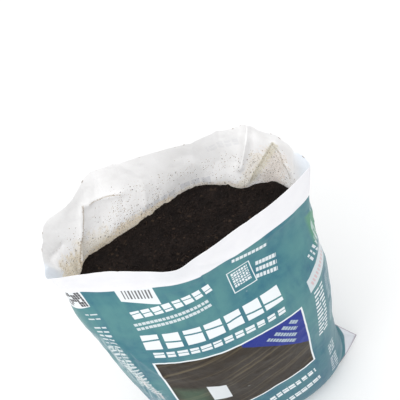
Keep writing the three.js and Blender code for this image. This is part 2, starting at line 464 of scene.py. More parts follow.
@dataclass
class FilmSurface:
    """The smooth outer skin of the sack, from which every piece takes its place."""

    half_front_columns: int = 74
    back_columns: int = 192
    rows: int = 205
    curve_steps: int = 24
    station_steps: int = 14
    right_fold: float = FRONT_WIDTH / GIRTH / 2

    def around(self) -> np.ndarray:
        """Place the columns round the girth.

        Returns:
            The distance of each column from the middle of the front panel.
        """
        half = FRONT_WIDTH / 2
        front = np.arange(self.half_front_columns) / self.half_front_columns * half
        back = np.arange(self.back_columns) / self.back_columns * (GIRTH - FRONT_WIDTH)
        return np.concatenate((front, half + back, GIRTH - half + front))

    def ring(self, outline: Outline) -> np.ndarray:
        """An outline cut into the film's columns.

        Args:
            outline: The outline to cut.

        Returns:
            One point for each column.
        """
        points = np.array(outline.points, dtype=float)
        curve = smooth_curve(points, True, self.curve_steps)
        curve = np.vstack((curve, curve[:1]))
        steps = np.linalg.norm(np.diff(curve, axis=0), axis=1)
        length = np.concatenate(([0.0], np.cumsum(steps)))
        right, left = self.right_fold, 1 - self.right_fold
        if outline.folds:
            right, left = (length[self.curve_steps * fold] / length[-1] for fold in outline.folds)
        front = np.arange(self.half_front_columns) / self.half_front_columns
        back = np.arange(self.back_columns) / self.back_columns
        shares = (front * right, right + back * (left - right), left + front * (1 - left))
        places = np.concatenate(shares) * length[-1]
        return np.stack([np.interp(places, length, axis) for axis in curve.T], axis=1)

    def stations(self) -> np.ndarray:
        """Make the rings that the skin runs through.

        Returns:
            The rings from the rim down to the base, each with a point for every column.
        """
        rim = self.ring(RIM)
        neck = np.column_stack((self.ring(NECK), rim[:, 2] - NECK_DROP))
        shoulder = np.column_stack((self.ring(SHOULDER), np.full(len(rim), SOIL_LEVEL)))
        body = []
        for girth in BODY:
            flat = self.ring(girth.outline())
            body.append(np.column_stack((flat, np.full(len(rim), girth.height))))
        return np.array([rim, neck, shoulder, *body])

    def skin(self) -> tuple[np.ndarray, np.ndarray]:
        """The smooth skin in rows evenly spaced along the film.

        Returns:
            The points by row and column, and how far each lies below the rim.
        """
        dense = smooth_curve(self.stations(), False, self.station_steps)
        dense = dense + CENTRE_SHIFT
        steps = np.linalg.norm(np.diff(dense, axis=0), axis=2)
        down = np.vstack((np.zeros(dense.shape[1]), np.cumsum(steps, axis=0)))
        share = np.linspace(0, 1, self.rows + 1)
        points = np.empty((self.rows + 1, dense.shape[1], 3))
        for column in range(dense.shape[1]):
            places = share * down[-1, column]
            for axis in range(3):
                points[:, column, axis] = np.interp(
                    places, down[:, column], dense[:, column, axis]
                )
        return points, share[:, None] * down[-1]

    @staticmethod
    def normals(points: np.ndarray) -> np.ndarray:
        """Work out the directions straight out of a skin.

        Args:
            points: The skin's points by row and column.

        Returns:
            A unit direction for each point.
        """
        sideways = np.roll(points, -1, axis=1) - np.roll(points, 1, axis=1)
        downwards = np.gradient(points, axis=0)
        out = np.cross(downwards, sideways)
        return out / np.maximum(np.linalg.norm(out, axis=2, keepdims=True), 1e-9)

    @staticmethod
    def relief(around: np.ndarray, down: np.ndarray) -> np.ndarray:
        """How far wrinkles and creases lift the film out of its smooth skin.

        Args:
            around: Where each place lies round the girth.
            down: How far each place lies below the rim.

        Returns:
            The lift at each place.
        """
        radius = GIRTH / (2 * np.pi)
        angle = around / radius
        lift = np.zeros(around.shape)
        for wave in WAVES:
            grain = (
                radius * np.cos(angle) / wave.across,
                radius * np.sin(angle) / wave.across,
                down / wave.down,
            )
            value = lattice_noise(np.stack(grain, axis=-1), wave.seed)
            if wave.creased:
                value = RIDGE_LEVEL - np.abs(value) * RIDGE_STEEPNESS
            weight = trapezoid(down, wave.zone) * trapezoid(around, wave.side)
            lift += wave.height * value * weight
        for crease in CREASES:
            reach = path_distance(around, down, crease.path)
            rounded = np.hypot(reach, CREASE_RADIUS) - CREASE_RADIUS
            lift += crease.height * np.exp(-rounded / crease.width)
        return lift

    def wrinkled(self) -> tuple[np.ndarray, np.ndarray, np.ndarray]:
        """The skin with its wrinkles and creases.

        Returns:
            The points by row and column, how far each lies below the rim, and the directions
            straight out of the smooth skin.
        """
        points, down = self.skin()
        outwards = self.normals(points)
        around = np.broadcast_to(self.around(), down.shape)
        foot = np.clip((points[..., 2] - FOOT_START) / FOOT_FADE, 0, 1)
        lift = self.relief(around, down) * foot
        points = points + outwards * lift[..., None]
        points[..., 2] = np.maximum(points[..., 2], 0)
        points[-1, :, 2] = 0
        return points, down, outwards


# ---------------------------------------------------------------------------------------------
# Writing materials


class Graph:
    """A short way to write a node tree."""

    def __init__(self, tree: bpy.types.NodeTree) -> None:
        """Keep the tree that nodes are added to."""
        self.tree = tree

    def node(self, kind: str, inputs: dict | None = None, **settings: object) -> bpy.types.Node:
        """Add a node.

        Args:
            kind: The node's type.
            inputs: Values or sockets for its inputs, by name or number.
            **settings: Properties of the node itself.

        Returns:
            The new node.
        """
        made = self.tree.nodes.new(kind)
        for name, value in settings.items():
            setattr(made, name, value)
        for key, value in (inputs or {}).items():
            self.plug(made.inputs[key], value)
        return made

    def plug(self, socket: bpy.types.NodeSocket, value: object) -> None:
        """Link a socket to an input, or set the input's value.

        Args:
            socket: The input.
            value: The socket to link or the value to set.
        """
        if isinstance(value, bpy.types.NodeSocket):
            self.tree.links.new(value, socket)
        else:
            socket.default_value = value

    def math(self, operation: str, *values: object, clamp: bool = False) -> bpy.types.NodeSocket:
        """Reckon with numbers.

        Args:
            operation: What to do with them, as the Math node names it.
            *values: The numbers or sockets.
            clamp: Whether the result is kept between 0 and 1.

        Returns:
            The result.
        """
        made = self.node("ShaderNodeMath", operation=operation, use_clamp=clamp)
        for socket, value in zip(made.inputs, values):
            self.plug(socket, value)
        return made.outputs[0]

    def mix(self, share: object, first: object, second: object) -> bpy.types.NodeSocket:
        """Mix two colours.

        Args:
            share: How much of the second colour, from 0 to 1.
            first: The first colour.
            second: The second colour.

        Returns:
            The mixed colour.
        """
        inputs = {MIX_SHARE: share, MIX_FIRST: first, MIX_SECOND: second}
        made = self.node("ShaderNodeMix", data_type="RGBA", clamp_factor=True)
        for key, value in inputs.items():
            self.plug(made.inputs[key], value)
        return made.outputs[MIX_RESULT]

    def spread(self, value: object, low: float, high: float) -> bpy.types.NodeSocket:
        """Bring a value smoothly from 0 to 1.

        Args:
            value: The value.
            low: Where the result is 0.
            high: Where the result is 1, which may lie below low.

        Returns:
            The result.
        """
        inputs = {"Value": value, "From Min": low, "From Max": high}
        made = self.node("ShaderNodeMapRange", inputs, interpolation_type="SMOOTHSTEP")
        return made.outputs[0]

    def vector(self, x: object, y: object, z: object = 0.0) -> bpy.types.NodeSocket:
        """Three numbers as one vector."""
        return self.node("ShaderNodeCombineXYZ", {0: x, 1: y, 2: z}).outputs[0]

    def noise(self, place: object, scale: object, detail: float = 2.0) -> bpy.types.NodeSocket:
        """Soft random values from 0 to 1."""
        inputs = {"Vector": place, "Scale": scale, "Detail": detail}
        return self.node("ShaderNodeTexNoise", inputs).outputs[0]

    def use(self, group: bpy.types.NodeTree, inputs: dict | None = None) -> bpy.types.Node:
        """Place a node group with its own values.

        Args:
            group: The group.
            inputs: Values or sockets for its inputs, by name.

        Returns:
            The group's node.
        """
        made = self.tree.nodes.new("ShaderNodeGroup")
        made.node_tree = group
        for key, value in (inputs or {}).items():
            self.plug(made.inputs[key], value)
        return made


class SocketKind(Enum):
    """The kinds of value that a group takes in or puts out."""

    NUMBER = "NodeSocketFloat"
    COLOUR = "NodeSocketColor"


def new_group(
    name: str, takes: dict[str, float | Colour], gives: dict[str, SocketKind]
) -> tuple[Graph, dict[str, bpy.types.NodeSocket], bpy.types.Node]:
    """Start a shader node group.

    Args:
        name: The group's name.
        takes: Its inputs with their usual values, which are numbers or colours.
        gives: Its outputs with their kinds.

    Returns:
        The graph to write in, its inputs as sockets by name, and its output node.
    """
    tree = bpy.data.node_groups.new(name, "ShaderNodeTree")
    for title, value in takes.items():
        kind = SocketKind.COLOUR if isinstance(value, tuple) else SocketKind.NUMBER
        socket = tree.interface.new_socket(name=title, in_out="INPUT", socket_type=kind.value)
        socket.default_value = value
    for title, kind in gives.items():
        tree.interface.new_socket(name=title, in_out="OUTPUT", socket_type=kind.value)
    graph = Graph(tree)
    entry = graph.node("NodeGroupInput")
    leave = graph.node("NodeGroupOutput")
    return graph, {title: entry.outputs[title] for title in takes}, leave


def new_material(name: str) -> tuple[bpy.types.Material, Graph]:
    """Start a material with nothing in its node tree.

    Args:
        name: The material's name.

    Returns:
        The material, and the graph to write in.
    """
    material = bpy.data.materials.new(name)
    material.use_nodes = True
    material.node_tree.nodes.clear()
    return material, Graph(material.node_tree)


def lay_surface(
    graph: Graph, height: object, inputs: dict, distance: float = MM, strength: float = 1.0
) -> None:
    """End a material with its bump and its shader.

    Args:
        graph: The material's graph.
        height: The height of the bumps.
        inputs: Values or sockets for the shader's inputs, by name.
        distance: How far one unit of height stands out, in metres.
        strength: How strongly the bumps show.
    """
    lift = {"Height": height, "Distance": distance, "Strength": strength}
    bump = graph.node("ShaderNodeBump", lift)
    shader = graph.node("ShaderNodeBsdfPrincipled", {**inputs, "Normal": bump.outputs[0]})
    graph.node("ShaderNodeOutputMaterial", {"Surface": shader.outputs[0]})


class FilmGroups:
    """The node groups that the finishes share, each built once."""

    def __init__(self) -> None:
        """Build every group."""
        self.places = self.build_places()
        self.patch = self.build_patch()
        self.blocks = self.build_blocks()
        self.smear = self.build_smear()
        self.specks = self.build_specks()
        self.crinkle = self.build_crinkle()
        self.ground = self.build_ground()
        self.streaks = self.build_streaks()
        self.earth = self.build_earth()

    @staticmethod
    def build_places() -> bpy.types.NodeTree:
        """Build the group that tells where a point lies on the film: across, around and down.

        Returns:
            The group.
        """
        gives = {name: SocketKind.NUMBER for name in ("Across", "Around", "Down")}
        graph, _, leave = new_group("film_places", {}, gives)
        chart = graph.node("ShaderNodeUVMap", uv_map="film").outputs[0]
        axes = graph.node("ShaderNodeSeparateXYZ", {0: chart})
        across = graph.math("MULTIPLY", graph.math("SUBTRACT", axes.outputs[0], 0.5), GIRTH)
        left = graph.math("LESS_THAN", across, 0.0)
        graph.plug(leave.inputs["Across"], across)
        graph.plug(leave.inputs["Around"], graph.math("MULTIPLY_ADD", left, GIRTH, across))
        down = graph.math("MULTIPLY", graph.math("SUBTRACT", 1.0, axes.outputs[1]), CHART_DEPTH)
        graph.plug(leave.inputs["Down"], down)
        return graph.tree

    @staticmethod
    def build_patch() -> bpy.types.NodeTree:
        """Build a printed patch with upright sides and a sloping top and bottom.

        Returns:
            The group.
        """
        takes = {
            "Across": 0.0, "Down": 0.0, "Left": 0.0, "Right": 10.0, "Top": 0.0,
            "Top Slope": 0.0, "Bottom": 10.0, "Bottom Slope": 0.0, "Softness": 0.5,
        }
        graph, take, leave = new_group("printed_patch", takes, {"Mask": SocketKind.NUMBER})
        inside = graph.math("SUBTRACT", take["Across"], take["Left"])
        top = graph.math("MULTIPLY_ADD", inside, take["Top Slope"], take["Top"])
        bottom = graph.math("MULTIPLY_ADD", inside, take["Bottom Slope"], take["Bottom"])
        reach = graph.math("MINIMUM", inside, graph.math("SUBTRACT", take["Right"], take["Across"]))
        reach = graph.math("MINIMUM", reach, graph.math("SUBTRACT", take["Down"], top))
        reach = graph.math("MINIMUM", reach, graph.math("SUBTRACT", bottom, take["Down"]))
        share = graph.math("DIVIDE", reach, take["Softness"])
        mask = graph.math("ADD", share, 0.5, clamp=True)
        graph.plug(leave.inputs["Mask"], mask)
        return graph.tree

    @staticmethod
    def build_blocks() -> bpy.types.NodeTree:
        """Build rows of plain blocks of unlike widths, each cut by a slit, along straight lines.

        Returns:
            The group.
        """
        takes = {
            "Across": 0.0, "Down": 0.0, "Start Across": 0.0, "Start Down": 0.0, "Along X": 1.0,
            "Along Y": 0.0, "Length": 100.0, "Height": 10.0, "Pitch": 8.0, "Slit": 0.2,
            "Seed": 0.0, "Words": 0.0, "Fill": 0.34, "Rows": 1.0, "Row Step": 100.0, "Stagger": 0.0,
            "Growth": 0.0,
        }
        graph, take, leave = new_group("block_row", takes, {"Mask": SocketKind.NUMBER})
        right = graph.math("SUBTRACT", take["Across"], take["Start Across"])
        below = graph.math("SUBTRACT", take["Down"], take["Start Down"])
        along = graph.math(
            "ADD",
            graph.math("MULTIPLY", right, take["Along X"]),
            graph.math("MULTIPLY", below, take["Along Y"]),
        )
        off = graph.math(
            "SUBTRACT",
            graph.math("MULTIPLY", below, take["Along X"]),
            graph.math("MULTIPLY", right, take["Along Y"]),
        )
        row = graph.math("DIVIDE", off, take["Row Step"])
        row = graph.math("FLOOR", graph.math("ADD", row, 0.5))
        last = graph.math("SUBTRACT", take["Rows"], 1.0)
        row = graph.math("MAXIMUM", graph.math("MINIMUM", row, last), 0.0)
        off = graph.math("SUBTRACT", off, graph.math("MULTIPLY", row, take["Row Step"]))
        along = graph.math("SUBTRACT", along, graph.math("MULTIPLY", row, take["Stagger"]))
        length = graph.math("MULTIPLY_ADD", row, take["Growth"], take["Length"])
        steps = graph.math("DIVIDE", along, take["Pitch"])
        cell = graph.math("FLOOR", steps)
        part = graph.math("SUBTRACT", steps, cell)
        key = graph.vector(cell, take["Seed"], row)
        dice = graph.node("ShaderNodeTexWhiteNoise", {"Vector": key}, noise_dimensions="3D")
        rolls = graph.node("ShaderNodeSeparateColor", {0: dice.outputs["Color"]}).outputs
        width = graph.math("MULTIPLY_ADD", rolls[0], 0.13, take["Fill"])
        middle = graph.math("SUBTRACT", part, 0.5)
        reach = graph.math("SUBTRACT", width, graph.math("ABSOLUTE", middle))
        reach = graph.math("MULTIPLY", reach, take["Pitch"])
        half = graph.math("MULTIPLY", take["Height"], 0.5)
        room = graph.math("SUBTRACT", half, graph.math("ABSOLUTE", off))
        reach = graph.math("MINIMUM", reach, room)
        reach = graph.math("MINIMUM", reach, along)
        reach = graph.math("MINIMUM", reach, graph.math("SUBTRACT", length, along))
        block = graph.math("MULTIPLY_ADD", reach, 2.0, 0.5, clamp=True)
        tilt = graph.math("MULTIPLY_ADD", rolls[1], 0.3, -0.15)
        level = graph.math("DIVIDE", off, take["Height"])
        lean = graph.math("MULTIPLY_ADD", middle, tilt, level)
        shelf = graph.math("MULTIPLY_ADD", rolls[2], 0.36, -0.18)
        gap = graph.math("ABSOLUTE", graph.math("SUBTRACT", lean, shelf))
        slit = graph.math("LESS_THAN", gap, graph.math("MULTIPLY", take["Slit"], 0.5))
        skip = graph.math("LESS_THAN", rolls[2], take["Words"])
        keep = graph.math("SUBTRACT", 1.0, graph.math("MAXIMUM", slit, skip))
        graph.plug(leave.inputs["Mask"], graph.math("MULTIPLY", block, keep))
        return graph.tree

    @staticmethod
    def build_smear() -> bpy.types.NodeTree:
        """Build a soft smear along a straight line, with an uneven edge.

        Returns:
            The group.
        """
        takes = {
            "Around": 0.0, "Down": 0.0, "From Around": 0.0, "From Down": 0.0, "To Around": 10.0,
            "To Down": 0.0, "Half Width": 5.0, "Grain": 9.0,
        }
        graph, take, leave = new_group("uneven_smear", takes, {"Mask": SocketKind.NUMBER})
        x = graph.math("SUBTRACT", take["Around"], take["From Around"])
        y = graph.math("SUBTRACT", take["Down"], take["From Down"])
        run = graph.math("SUBTRACT", take["To Around"], take["From Around"])
        fall = graph.math("SUBTRACT", take["To Down"], take["From Down"])
        length = graph.math("MULTIPLY_ADD", run, run, graph.math("MULTIPLY", fall, fall))
        share = graph.math("MULTIPLY_ADD", x, run, graph.math("MULTIPLY", y, fall))
        share = graph.math("DIVIDE", share, length, clamp=True)
        x = graph.math("SUBTRACT", x, graph.math("MULTIPLY", share, run))
        y = graph.math("SUBTRACT", y, graph.math("MULTIPLY", share, fall))
        reach = graph.math("MULTIPLY_ADD", x, x, graph.math("MULTIPLY", y, y))
        reach = graph.math("DIVIDE", graph.math("SQRT", reach), take["Half Width"])
        place = graph.vector(
            graph.math("DIVIDE", take["Around"], take["Grain"]),
            graph.math("DIVIDE", take["Down"], take["Grain"]),
        )
        ragged = graph.math("MULTIPLY_ADD", graph.noise(place, 1.0, 4.0), 1.8, -0.9)
        mask = graph.spread(graph.math("ADD", reach, ragged), 1.1, 0.3)
        graph.plug(leave.inputs["Mask"], mask)
        return graph.tree

    @staticmethod
    def build_specks() -> bpy.types.NodeTree:
        """Build small scattered specks, more of them where the density is higher.

        Returns:
            The group.
        """
        takes = {"Around": 0.0, "Down": 0.0, "Spacing": 4.0, "Size": 0.3, "Density": 0.3}
        graph, take, leave = new_group("scattered_specks", takes, {"Mask": SocketKind.NUMBER})
        place = graph.vector(
            graph.math("DIVIDE", take["Around"], take["Spacing"]),
            graph.math("DIVIDE", take["Down"], take["Spacing"]),
        )
        bend = graph.node("ShaderNodeTexNoise", {"Vector": place, "Scale": 2.5, "Detail": 1.0})
        mixed = graph.node(
            "ShaderNodeVectorMath", {0: bend.outputs["Color"], 1: (0.5, 0.5, 0.0), 2: place},
            operation="MULTIPLY_ADD",
        )
        cells = graph.node("ShaderNodeTexVoronoi", {"Vector": mixed.outputs[0], "Scale": 1.0})
        dice = graph.node("ShaderNodeSeparateColor", {0: cells.outputs["Color"]}).outputs
        size = graph.math("MULTIPLY", take["Size"], graph.math("ADD", dice[1], 0.4))
        near = graph.math("SUBTRACT", size, cells.outputs["Distance"])
        near = graph.math("MULTIPLY", near, 9.0, clamp=True)
        kept = graph.math("LESS_THAN", dice[0], take["Density"])
        graph.plug(leave.inputs["Mask"], graph.math("MULTIPLY", near, kept))
        return graph.tree

    @staticmethod
    def build_crinkle() -> bpy.types.NodeTree:
        """Build the fine crinkles of handled film, as a height in millimetres.

        Returns:
            The group.
        """
        takes = {"Around": 0.0, "Down": 0.0, "Grain": 10.0, "Stretch": 1.6, "Depth": 0.3}
        graph, take, leave = new_group("film_crinkle", takes, {"Height": SocketKind.NUMBER})
        long = graph.math("MULTIPLY", take["Grain"], take["Stretch"])
        place = graph.vector(
            graph.math("DIVIDE", take["Around"], take["Grain"]),
            graph.math("DIVIDE", take["Down"], long),
        )
        folds = graph.node(
            "ShaderNodeTexNoise",
            {"Vector": place, "Scale": 1.0, "Detail": 3.0, "Roughness": 0.55, "Distortion": 0.6},
        ).outputs[0]
        sharp = graph.math("ABSOLUTE", graph.math("SUBTRACT", folds, 0.5))
        cells = graph.node(
            "ShaderNodeTexVoronoi", {"Vector": place, "Scale": 0.8}, feature="DISTANCE_TO_EDGE"
        ).outputs[0]
        facets = graph.math("MINIMUM", cells, 0.35)
        height = graph.math("MULTIPLY_ADD", sharp, -1.6, graph.math("MULTIPLY", facets, 0.7))
        graph.plug(leave.inputs["Height"], graph.math("MULTIPLY", height, take["Depth"]))
        return graph.tree

    @staticmethod
    def build_ground() -> bpy.types.NodeTree:
        """Build the mottled ground colour of the print, with painted reflections laid over it.

        Returns:
            The group.
        """
        takes = {"Around": 0.0, "Down": 0.0}
        graph, take, leave = new_group("print_ground_with_painted_reflections", takes, {"Color": SocketKind.COLOUR})
        flat = graph.vector(take["Around"], take["Down"])
        # The broad mottle is partly uneven print and partly painted reflection; the darker slanting
        # streaks and the pale clouds are painted reflections.
        broad = graph.spread(graph.noise(flat, 0.013, 2.0), 0.35, 0.65)
        painted_reflection_cloud = graph.spread(graph.noise(flat, 0.06, 4.0), 0.3, 0.7)
        slant = graph.node(
            "ShaderNodeVectorMath", {0: flat, 1: (0.05, 0.014, 1.0)}, operation="MULTIPLY"
        )
        streak = graph.spread(graph.noise(slant.outputs[0], 1.0, 4.0), 0.46, 0.7)
        ground = graph.mix(broad, srgb(58, 112, 128), srgb(84, 134, 138))
        ground = graph.mix(graph.math("MULTIPLY", streak, 0.5), ground, srgb(48, 98, 124))
        ground = graph.mix(graph.math("MULTIPLY", painted_reflection_cloud, 0.42), ground, srgb(92, 144, 144))
        graph.plug(leave.inputs["Color"], ground)
        return graph.tree

    @staticmethod
    def build_streaks() -> bpy.types.NodeTree:
        """Build upright streaks that break up the painted highlights.

        Returns:
            The group.
        """
        takes = {"Around": 0.0, "Down": 0.0}
        graph, take, leave = new_group("painted_highlight_streaks", takes, {"Mask": SocketKind.NUMBER})
        stretched = graph.vector(
            graph.math("MULTIPLY", take["Around"], 0.3), graph.math("MULTIPLY", take["Down"], 0.022)
        )
        streak = graph.spread(graph.noise(stretched, 1.0, 3.0), 0.44, 0.62)
        graph.plug(leave.inputs["Mask"], graph.math("MULTIPLY_ADD", streak, 0.85, 0.15))
        return graph.tree

    @staticmethod
    def build_earth() -> bpy.types.NodeTree:
        """Build the crumbly grain of soil, as a colour and a height.

        Returns:
            The group.
        """
        takes = {"Scale": 300.0, "Dark": srgb(22, 16, 14), "Light": srgb(44, 34, 29)}
        gives = {
            "Color": SocketKind.COLOUR, "Height": SocketKind.NUMBER, "Grain": SocketKind.NUMBER,
        }
        graph, take, leave = new_group("crumbly_soil", takes, gives)
        place = graph.node("ShaderNodeTexCoord").outputs["Object"]
        coarse = graph.noise(place, graph.math("MULTIPLY", take["Scale"], 0.12), 3.0)
        fine = graph.noise(place, take["Scale"], 4.0)
        colour = graph.mix(graph.spread(fine, 0.35, 0.72), take["Dark"], take["Light"])
        colour = graph.mix(graph.spread(coarse, 0.35, 0.65), colour, take["Dark"])
        cells = graph.node(
            "ShaderNodeTexVoronoi",
            {"Vector": place, "Scale": graph.math("MULTIPLY", take["Scale"], 0.7)},
        )
        dice = graph.node("ShaderNodeSeparateColor", {0: cells.outputs["Color"]}).outputs[0]
        rare = graph.math("GREATER_THAN", dice, 0.985)
        colour = graph.mix(graph.math("MULTIPLY", rare, 0.4), colour, srgb(84, 68, 54))
        graph.plug(leave.inputs["Color"], colour)
        height = graph.math("ADD", fine, cells.outputs["Distance"])
        graph.plug(leave.inputs["Height"], height)
        graph.plug(leave.inputs["Grain"], fine)
        return graph.tree


class Ink(Enum):
    """The colours that the sack is printed in, and SHADOW, the painted shadow of print seen through
    the film.
    """

    WHITE = srgb(230, 235, 238)
    PALE = srgb(178, 196, 203)
    TEAL = srgb(74, 128, 142)
    BLUE = srgb(34, 46, 134)
    BROWN = srgb(74, 64, 54)
    GREEN = srgb(96, 150, 118)
    PINK = srgb(208, 158, 160)
    BLACK = srgb(60, 56, 58)
    # Painted shadow of the outside print, seen through the film from inside.
    SHADOW = srgb(160, 166, 178)


class PrintZone(Enum):
    """The parts of the film that are finished on their own: left, right, top and bottom."""

    HEAD_LEFT = (-127.0, 20.0, 0.0, 142.0)
    HEAD_RIGHT = (20.0, 127.0, 0.0, 142.0)
    TITLE = (-127.0, 127.0, 142.0, 206.0)
    PICTURE = (-127.0, 127.0, 206.0, 900.0)
    LEFT = (-246.0, -127.0, 0.0, 900.0)
    RIGHT = (127.0, 250.0, 0.0, 900.0)
    BACK = (250.0, 626.0, 0.0, 900.0)

    def holds(self, across: np.ndarray, down: np.ndarray) -> np.ndarray:
        """Tell which places on the film lie in the zone.

        Args:
            across: Where each place lies round the girth.
            down: How far each place lies below the rim.

        Returns:
            True for each place inside.
        """
        left, right, top, bottom = self.value
        turned = (across - left) % GIRTH
        return (turned < right - left) & (down >= top) & (down < bottom)

    def meets(self, box: tuple[float, float, float, float]) -> bool:
        """Tell whether a box on the film overlaps the zone.

        Args:
            box: The box's left, right, top and bottom.

        Returns:
            True if it does.
        """
        left, right, top, bottom = self.value
        turns = (-GIRTH, 0, GIRTH)
        beside = any(box[0] + turn < right and box[1] + turn > left for turn in turns)
        return beside and box[2] < bottom and box[3] > top


class Panel(Enum):
    """Which way of counting round the girth a print uses."""

    FRONT = "Across"
    ROUND = "Around"


@dataclass(frozen=True)
class Patch:
    """A printed patch: its sides, its top and bottom at the left, and their slopes."""

    ink: Ink
    left: float
    right: float
    top: float
    bottom: float
    top_slope: float = 0.0
    bottom_slope: float = 0.0
    strength: float = 1.0
    panel: Panel = Panel.FRONT
    softness: float = 0.6

    def box(self) -> tuple[float, float, float, float]:
        """Work out what the patch covers.

        Returns:
            Its left, right, top and bottom, with a small margin.
        """
        width = self.right - self.left
        tops = (self.top, self.top + width * self.top_slope)
        bottoms = (self.bottom, self.bottom + width * self.bottom_slope)
        return (self.left, self.right, min(tops) - 2, max(bottoms) + 2)


@dataclass(frozen=True)
class BlockRow:
    """Rows of plain printed blocks, where words would stand."""

    ink: Ink
    across: float
    down: float
    angle: float
    length: float
    height: float
    pitch: float
    seed: float
    slit: float = 0.24
    strength: float = 1.0
    words: float = 0.0
    panel: Panel = Panel.FRONT
    rows: int = 1
    row_step: float = 1000.0
    stagger: float = 0.0
    growth: float = 0.0
    fill: float = 0.34

    def box(self) -> tuple[float, float, float, float]:
        """Work out what the rows cover.

        Returns:
            Their left, right, top and bottom.
        """
        angle = math.radians(self.angle)
        c, s = math.cos(angle), math.sin(angle)
        deep = self.row_step * (self.rows - 1)
        start = min(0.0, self.stagger * self.rows)
        end = self.length + abs(self.growth) * self.rows
        corners = []
        for along in (start, end):
            for off in (-self.height / 2, deep + self.height / 2):
                corners.append((self.across + along * c - off * s, self.down + along * s + off * c))
        x, y = zip(*corners)
        return (min(x), max(x), min(y), max(y))


PRINT: tuple[Patch | BlockRow, ...] = (
    # front panel, from the top down
    Patch(Ink.WHITE, -118, -68, 50, 79, 0.0, 0.24),
    BlockRow(Ink.BLACK, -112, 67, 4, 40, 17, 4.4, 3.0, 0.0, 0.85, fill=0.16),
    BlockRow(Ink.WHITE, -116, 108, -9.4, 124, 15, 15.5, 5.0, 0.1),
    BlockRow(Ink.WHITE, -119, 127, -8.6, 114, 5.2, 6.0, 6.0, 0.0, 0.75, rows=2, row_step=9.0),
    BlockRow(Ink.WHITE, 44, 66, 11.5, 58, 6.0, 6.4, 8.0, 0.0, 0.9),
    Patch(Ink.WHITE, 31, 68, 82, 123, 0.05, 0.05),
    Patch(Ink.TEAL, 32.4, 66.6, 83.4, 121.6, 0.05, 0.05),
    BlockRow(Ink.WHITE, 36, 91, 2, 27, 8.0, 4.2, 9.0, 0.2, 0.95, rows=3, row_step=9.6),
    BlockRow(Ink.WHITE, 75, 97, 17, 34, 6.5, 5.4, 12.0, 0.0, 0.85, rows=3, row_step=11.0),
    BlockRow(Ink.WHITE, -121, 164, 0.8, 210, 31, 30.0, 16.0, 0.1),
    BlockRow(Ink.WHITE, -112, 193, 2.6, 199, 12.5, 16.6, 17.0, 0.12, 0.96),
    # picture panel
    Patch(Ink.WHITE, -120, 109, 213, 410, 0.05, -0.075),
    Patch(Ink.BROWN, -117, 106, 216.4, 406.4, 0.05, -0.075),
    Patch(Ink.BLUE, 8, 106, 222.6, 229, 0.05, 0.98),
    BlockRow(
        Ink.PALE, 84, 236, 50, 18, 6.5, 6.0, 21.0, 0.0, 0.85,
        rows=4, row_step=12.0, stagger=-6.0, growth=14.5,
    ),
    BlockRow(
        Ink.WHITE, 12, 433, -7.0, 92, 13, 12.5, 25.0, 0.12, 0.95, rows=2, row_step=35.0
    ),
    Patch(Ink.GREEN, -113, -70, 302, 372, 0.25, 0.0, 0.22, Panel.FRONT, 18.0),
    Patch(Ink.WHITE, -66, -38, 305, 356, 0.4, 0.3, 0.85),
    # left edge and gusset
    Patch(Ink.WHITE, 667, 707, 50, 96, 0.0, -0.24, 1.0, Panel.ROUND),
    BlockRow(
        Ink.BLACK, 671, 63, -4, 33, 4.3, 3.7, 31.0, 0.0, 0.95, 0.36, Panel.ROUND,
        rows=6, row_step=4.6, fill=0.36,
    ),
    BlockRow(Ink.WHITE, -172, 98, 83.5, 222, 19, 9.0, 34.0, 0.12, 0.8, 0.12, fill=0.12),
    # right edge and gusset
    Patch(Ink.GREEN, 171, 206, 92, 154, 0.0, 0.0, 0.8, Panel.ROUND, 7.0),
    BlockRow(Ink.WHITE, 150, 163, -18, 42, 17, 7.6, 41.0, 0.14, 0.8, 0.0, Panel.ROUND, fill=0.16),
    Patch(Ink.WHITE, 130, 193, 189, 217, -0.36, -0.2, 0.74, Panel.ROUND),
    BlockRow(Ink.PINK, 136, 203, -17, 50, 10, 5.2, 42.0, 0.0, 0.6, 0.0, Panel.ROUND, fill=0.26),
    BlockRow(Ink.WHITE, 147, 222, 93.5, 124, 23, 9.6, 43.0, 0.1, 0.92, 0.0, Panel.ROUND, fill=0.2),
    BlockRow(
        Ink.PALE, 173, 222, 93.5, 130, 10, 5.4, 44.0, 0.0, 0.6, 0.1, Panel.ROUND,
        rows=2, row_step=-13.0, fill=0.2,
    ),
    BlockRow(Ink.WHITE, 151, 398, 93.0, 92, 19, 8.6, 45.0, 0.1, 0.7, 0.1, Panel.ROUND, fill=0.16),
    # back panel
    BlockRow(Ink.WHITE, 330, 140, 0, 212, 28, 26.0, 51.0, 0.1, 1.0, 0.0, Panel.ROUND),
    BlockRow(Ink.WHITE, 336, 170, 0, 200, 10, 12.0, 52.0, 0.1, 0.95, 0.0, Panel.ROUND),
    Patch(Ink.WHITE, 322, 550, 198, 380, panel=Panel.ROUND),
    Patch(Ink.TEAL, 325, 547, 201, 377, panel=Panel.ROUND),
    BlockRow(
        Ink.PALE, 335, 214, 0, 198, 5, 6.0, 60.0, 0.0, 0.8, 0.14, Panel.ROUND,
        rows=13, row_step=12.0,
    ),
    BlockRow(Ink.WHITE, 340, 410, 0, 180, 12, 14.0, 80.0, 0.1, 0.95, 0.1, Panel.ROUND),
)


@dataclass(frozen=True)
class Smear:
    """A smear along a path on the film: uneven dirt in some tables, painted light and shade in
    others.
    """

    path: Path
    half_width: float
    tint: Colour
    strength: float
    grain: float = 9.0
    # dirty marks dirt that brings specks; the inside's smears of painted light and shade have it
    # False.
    dirty: bool = True


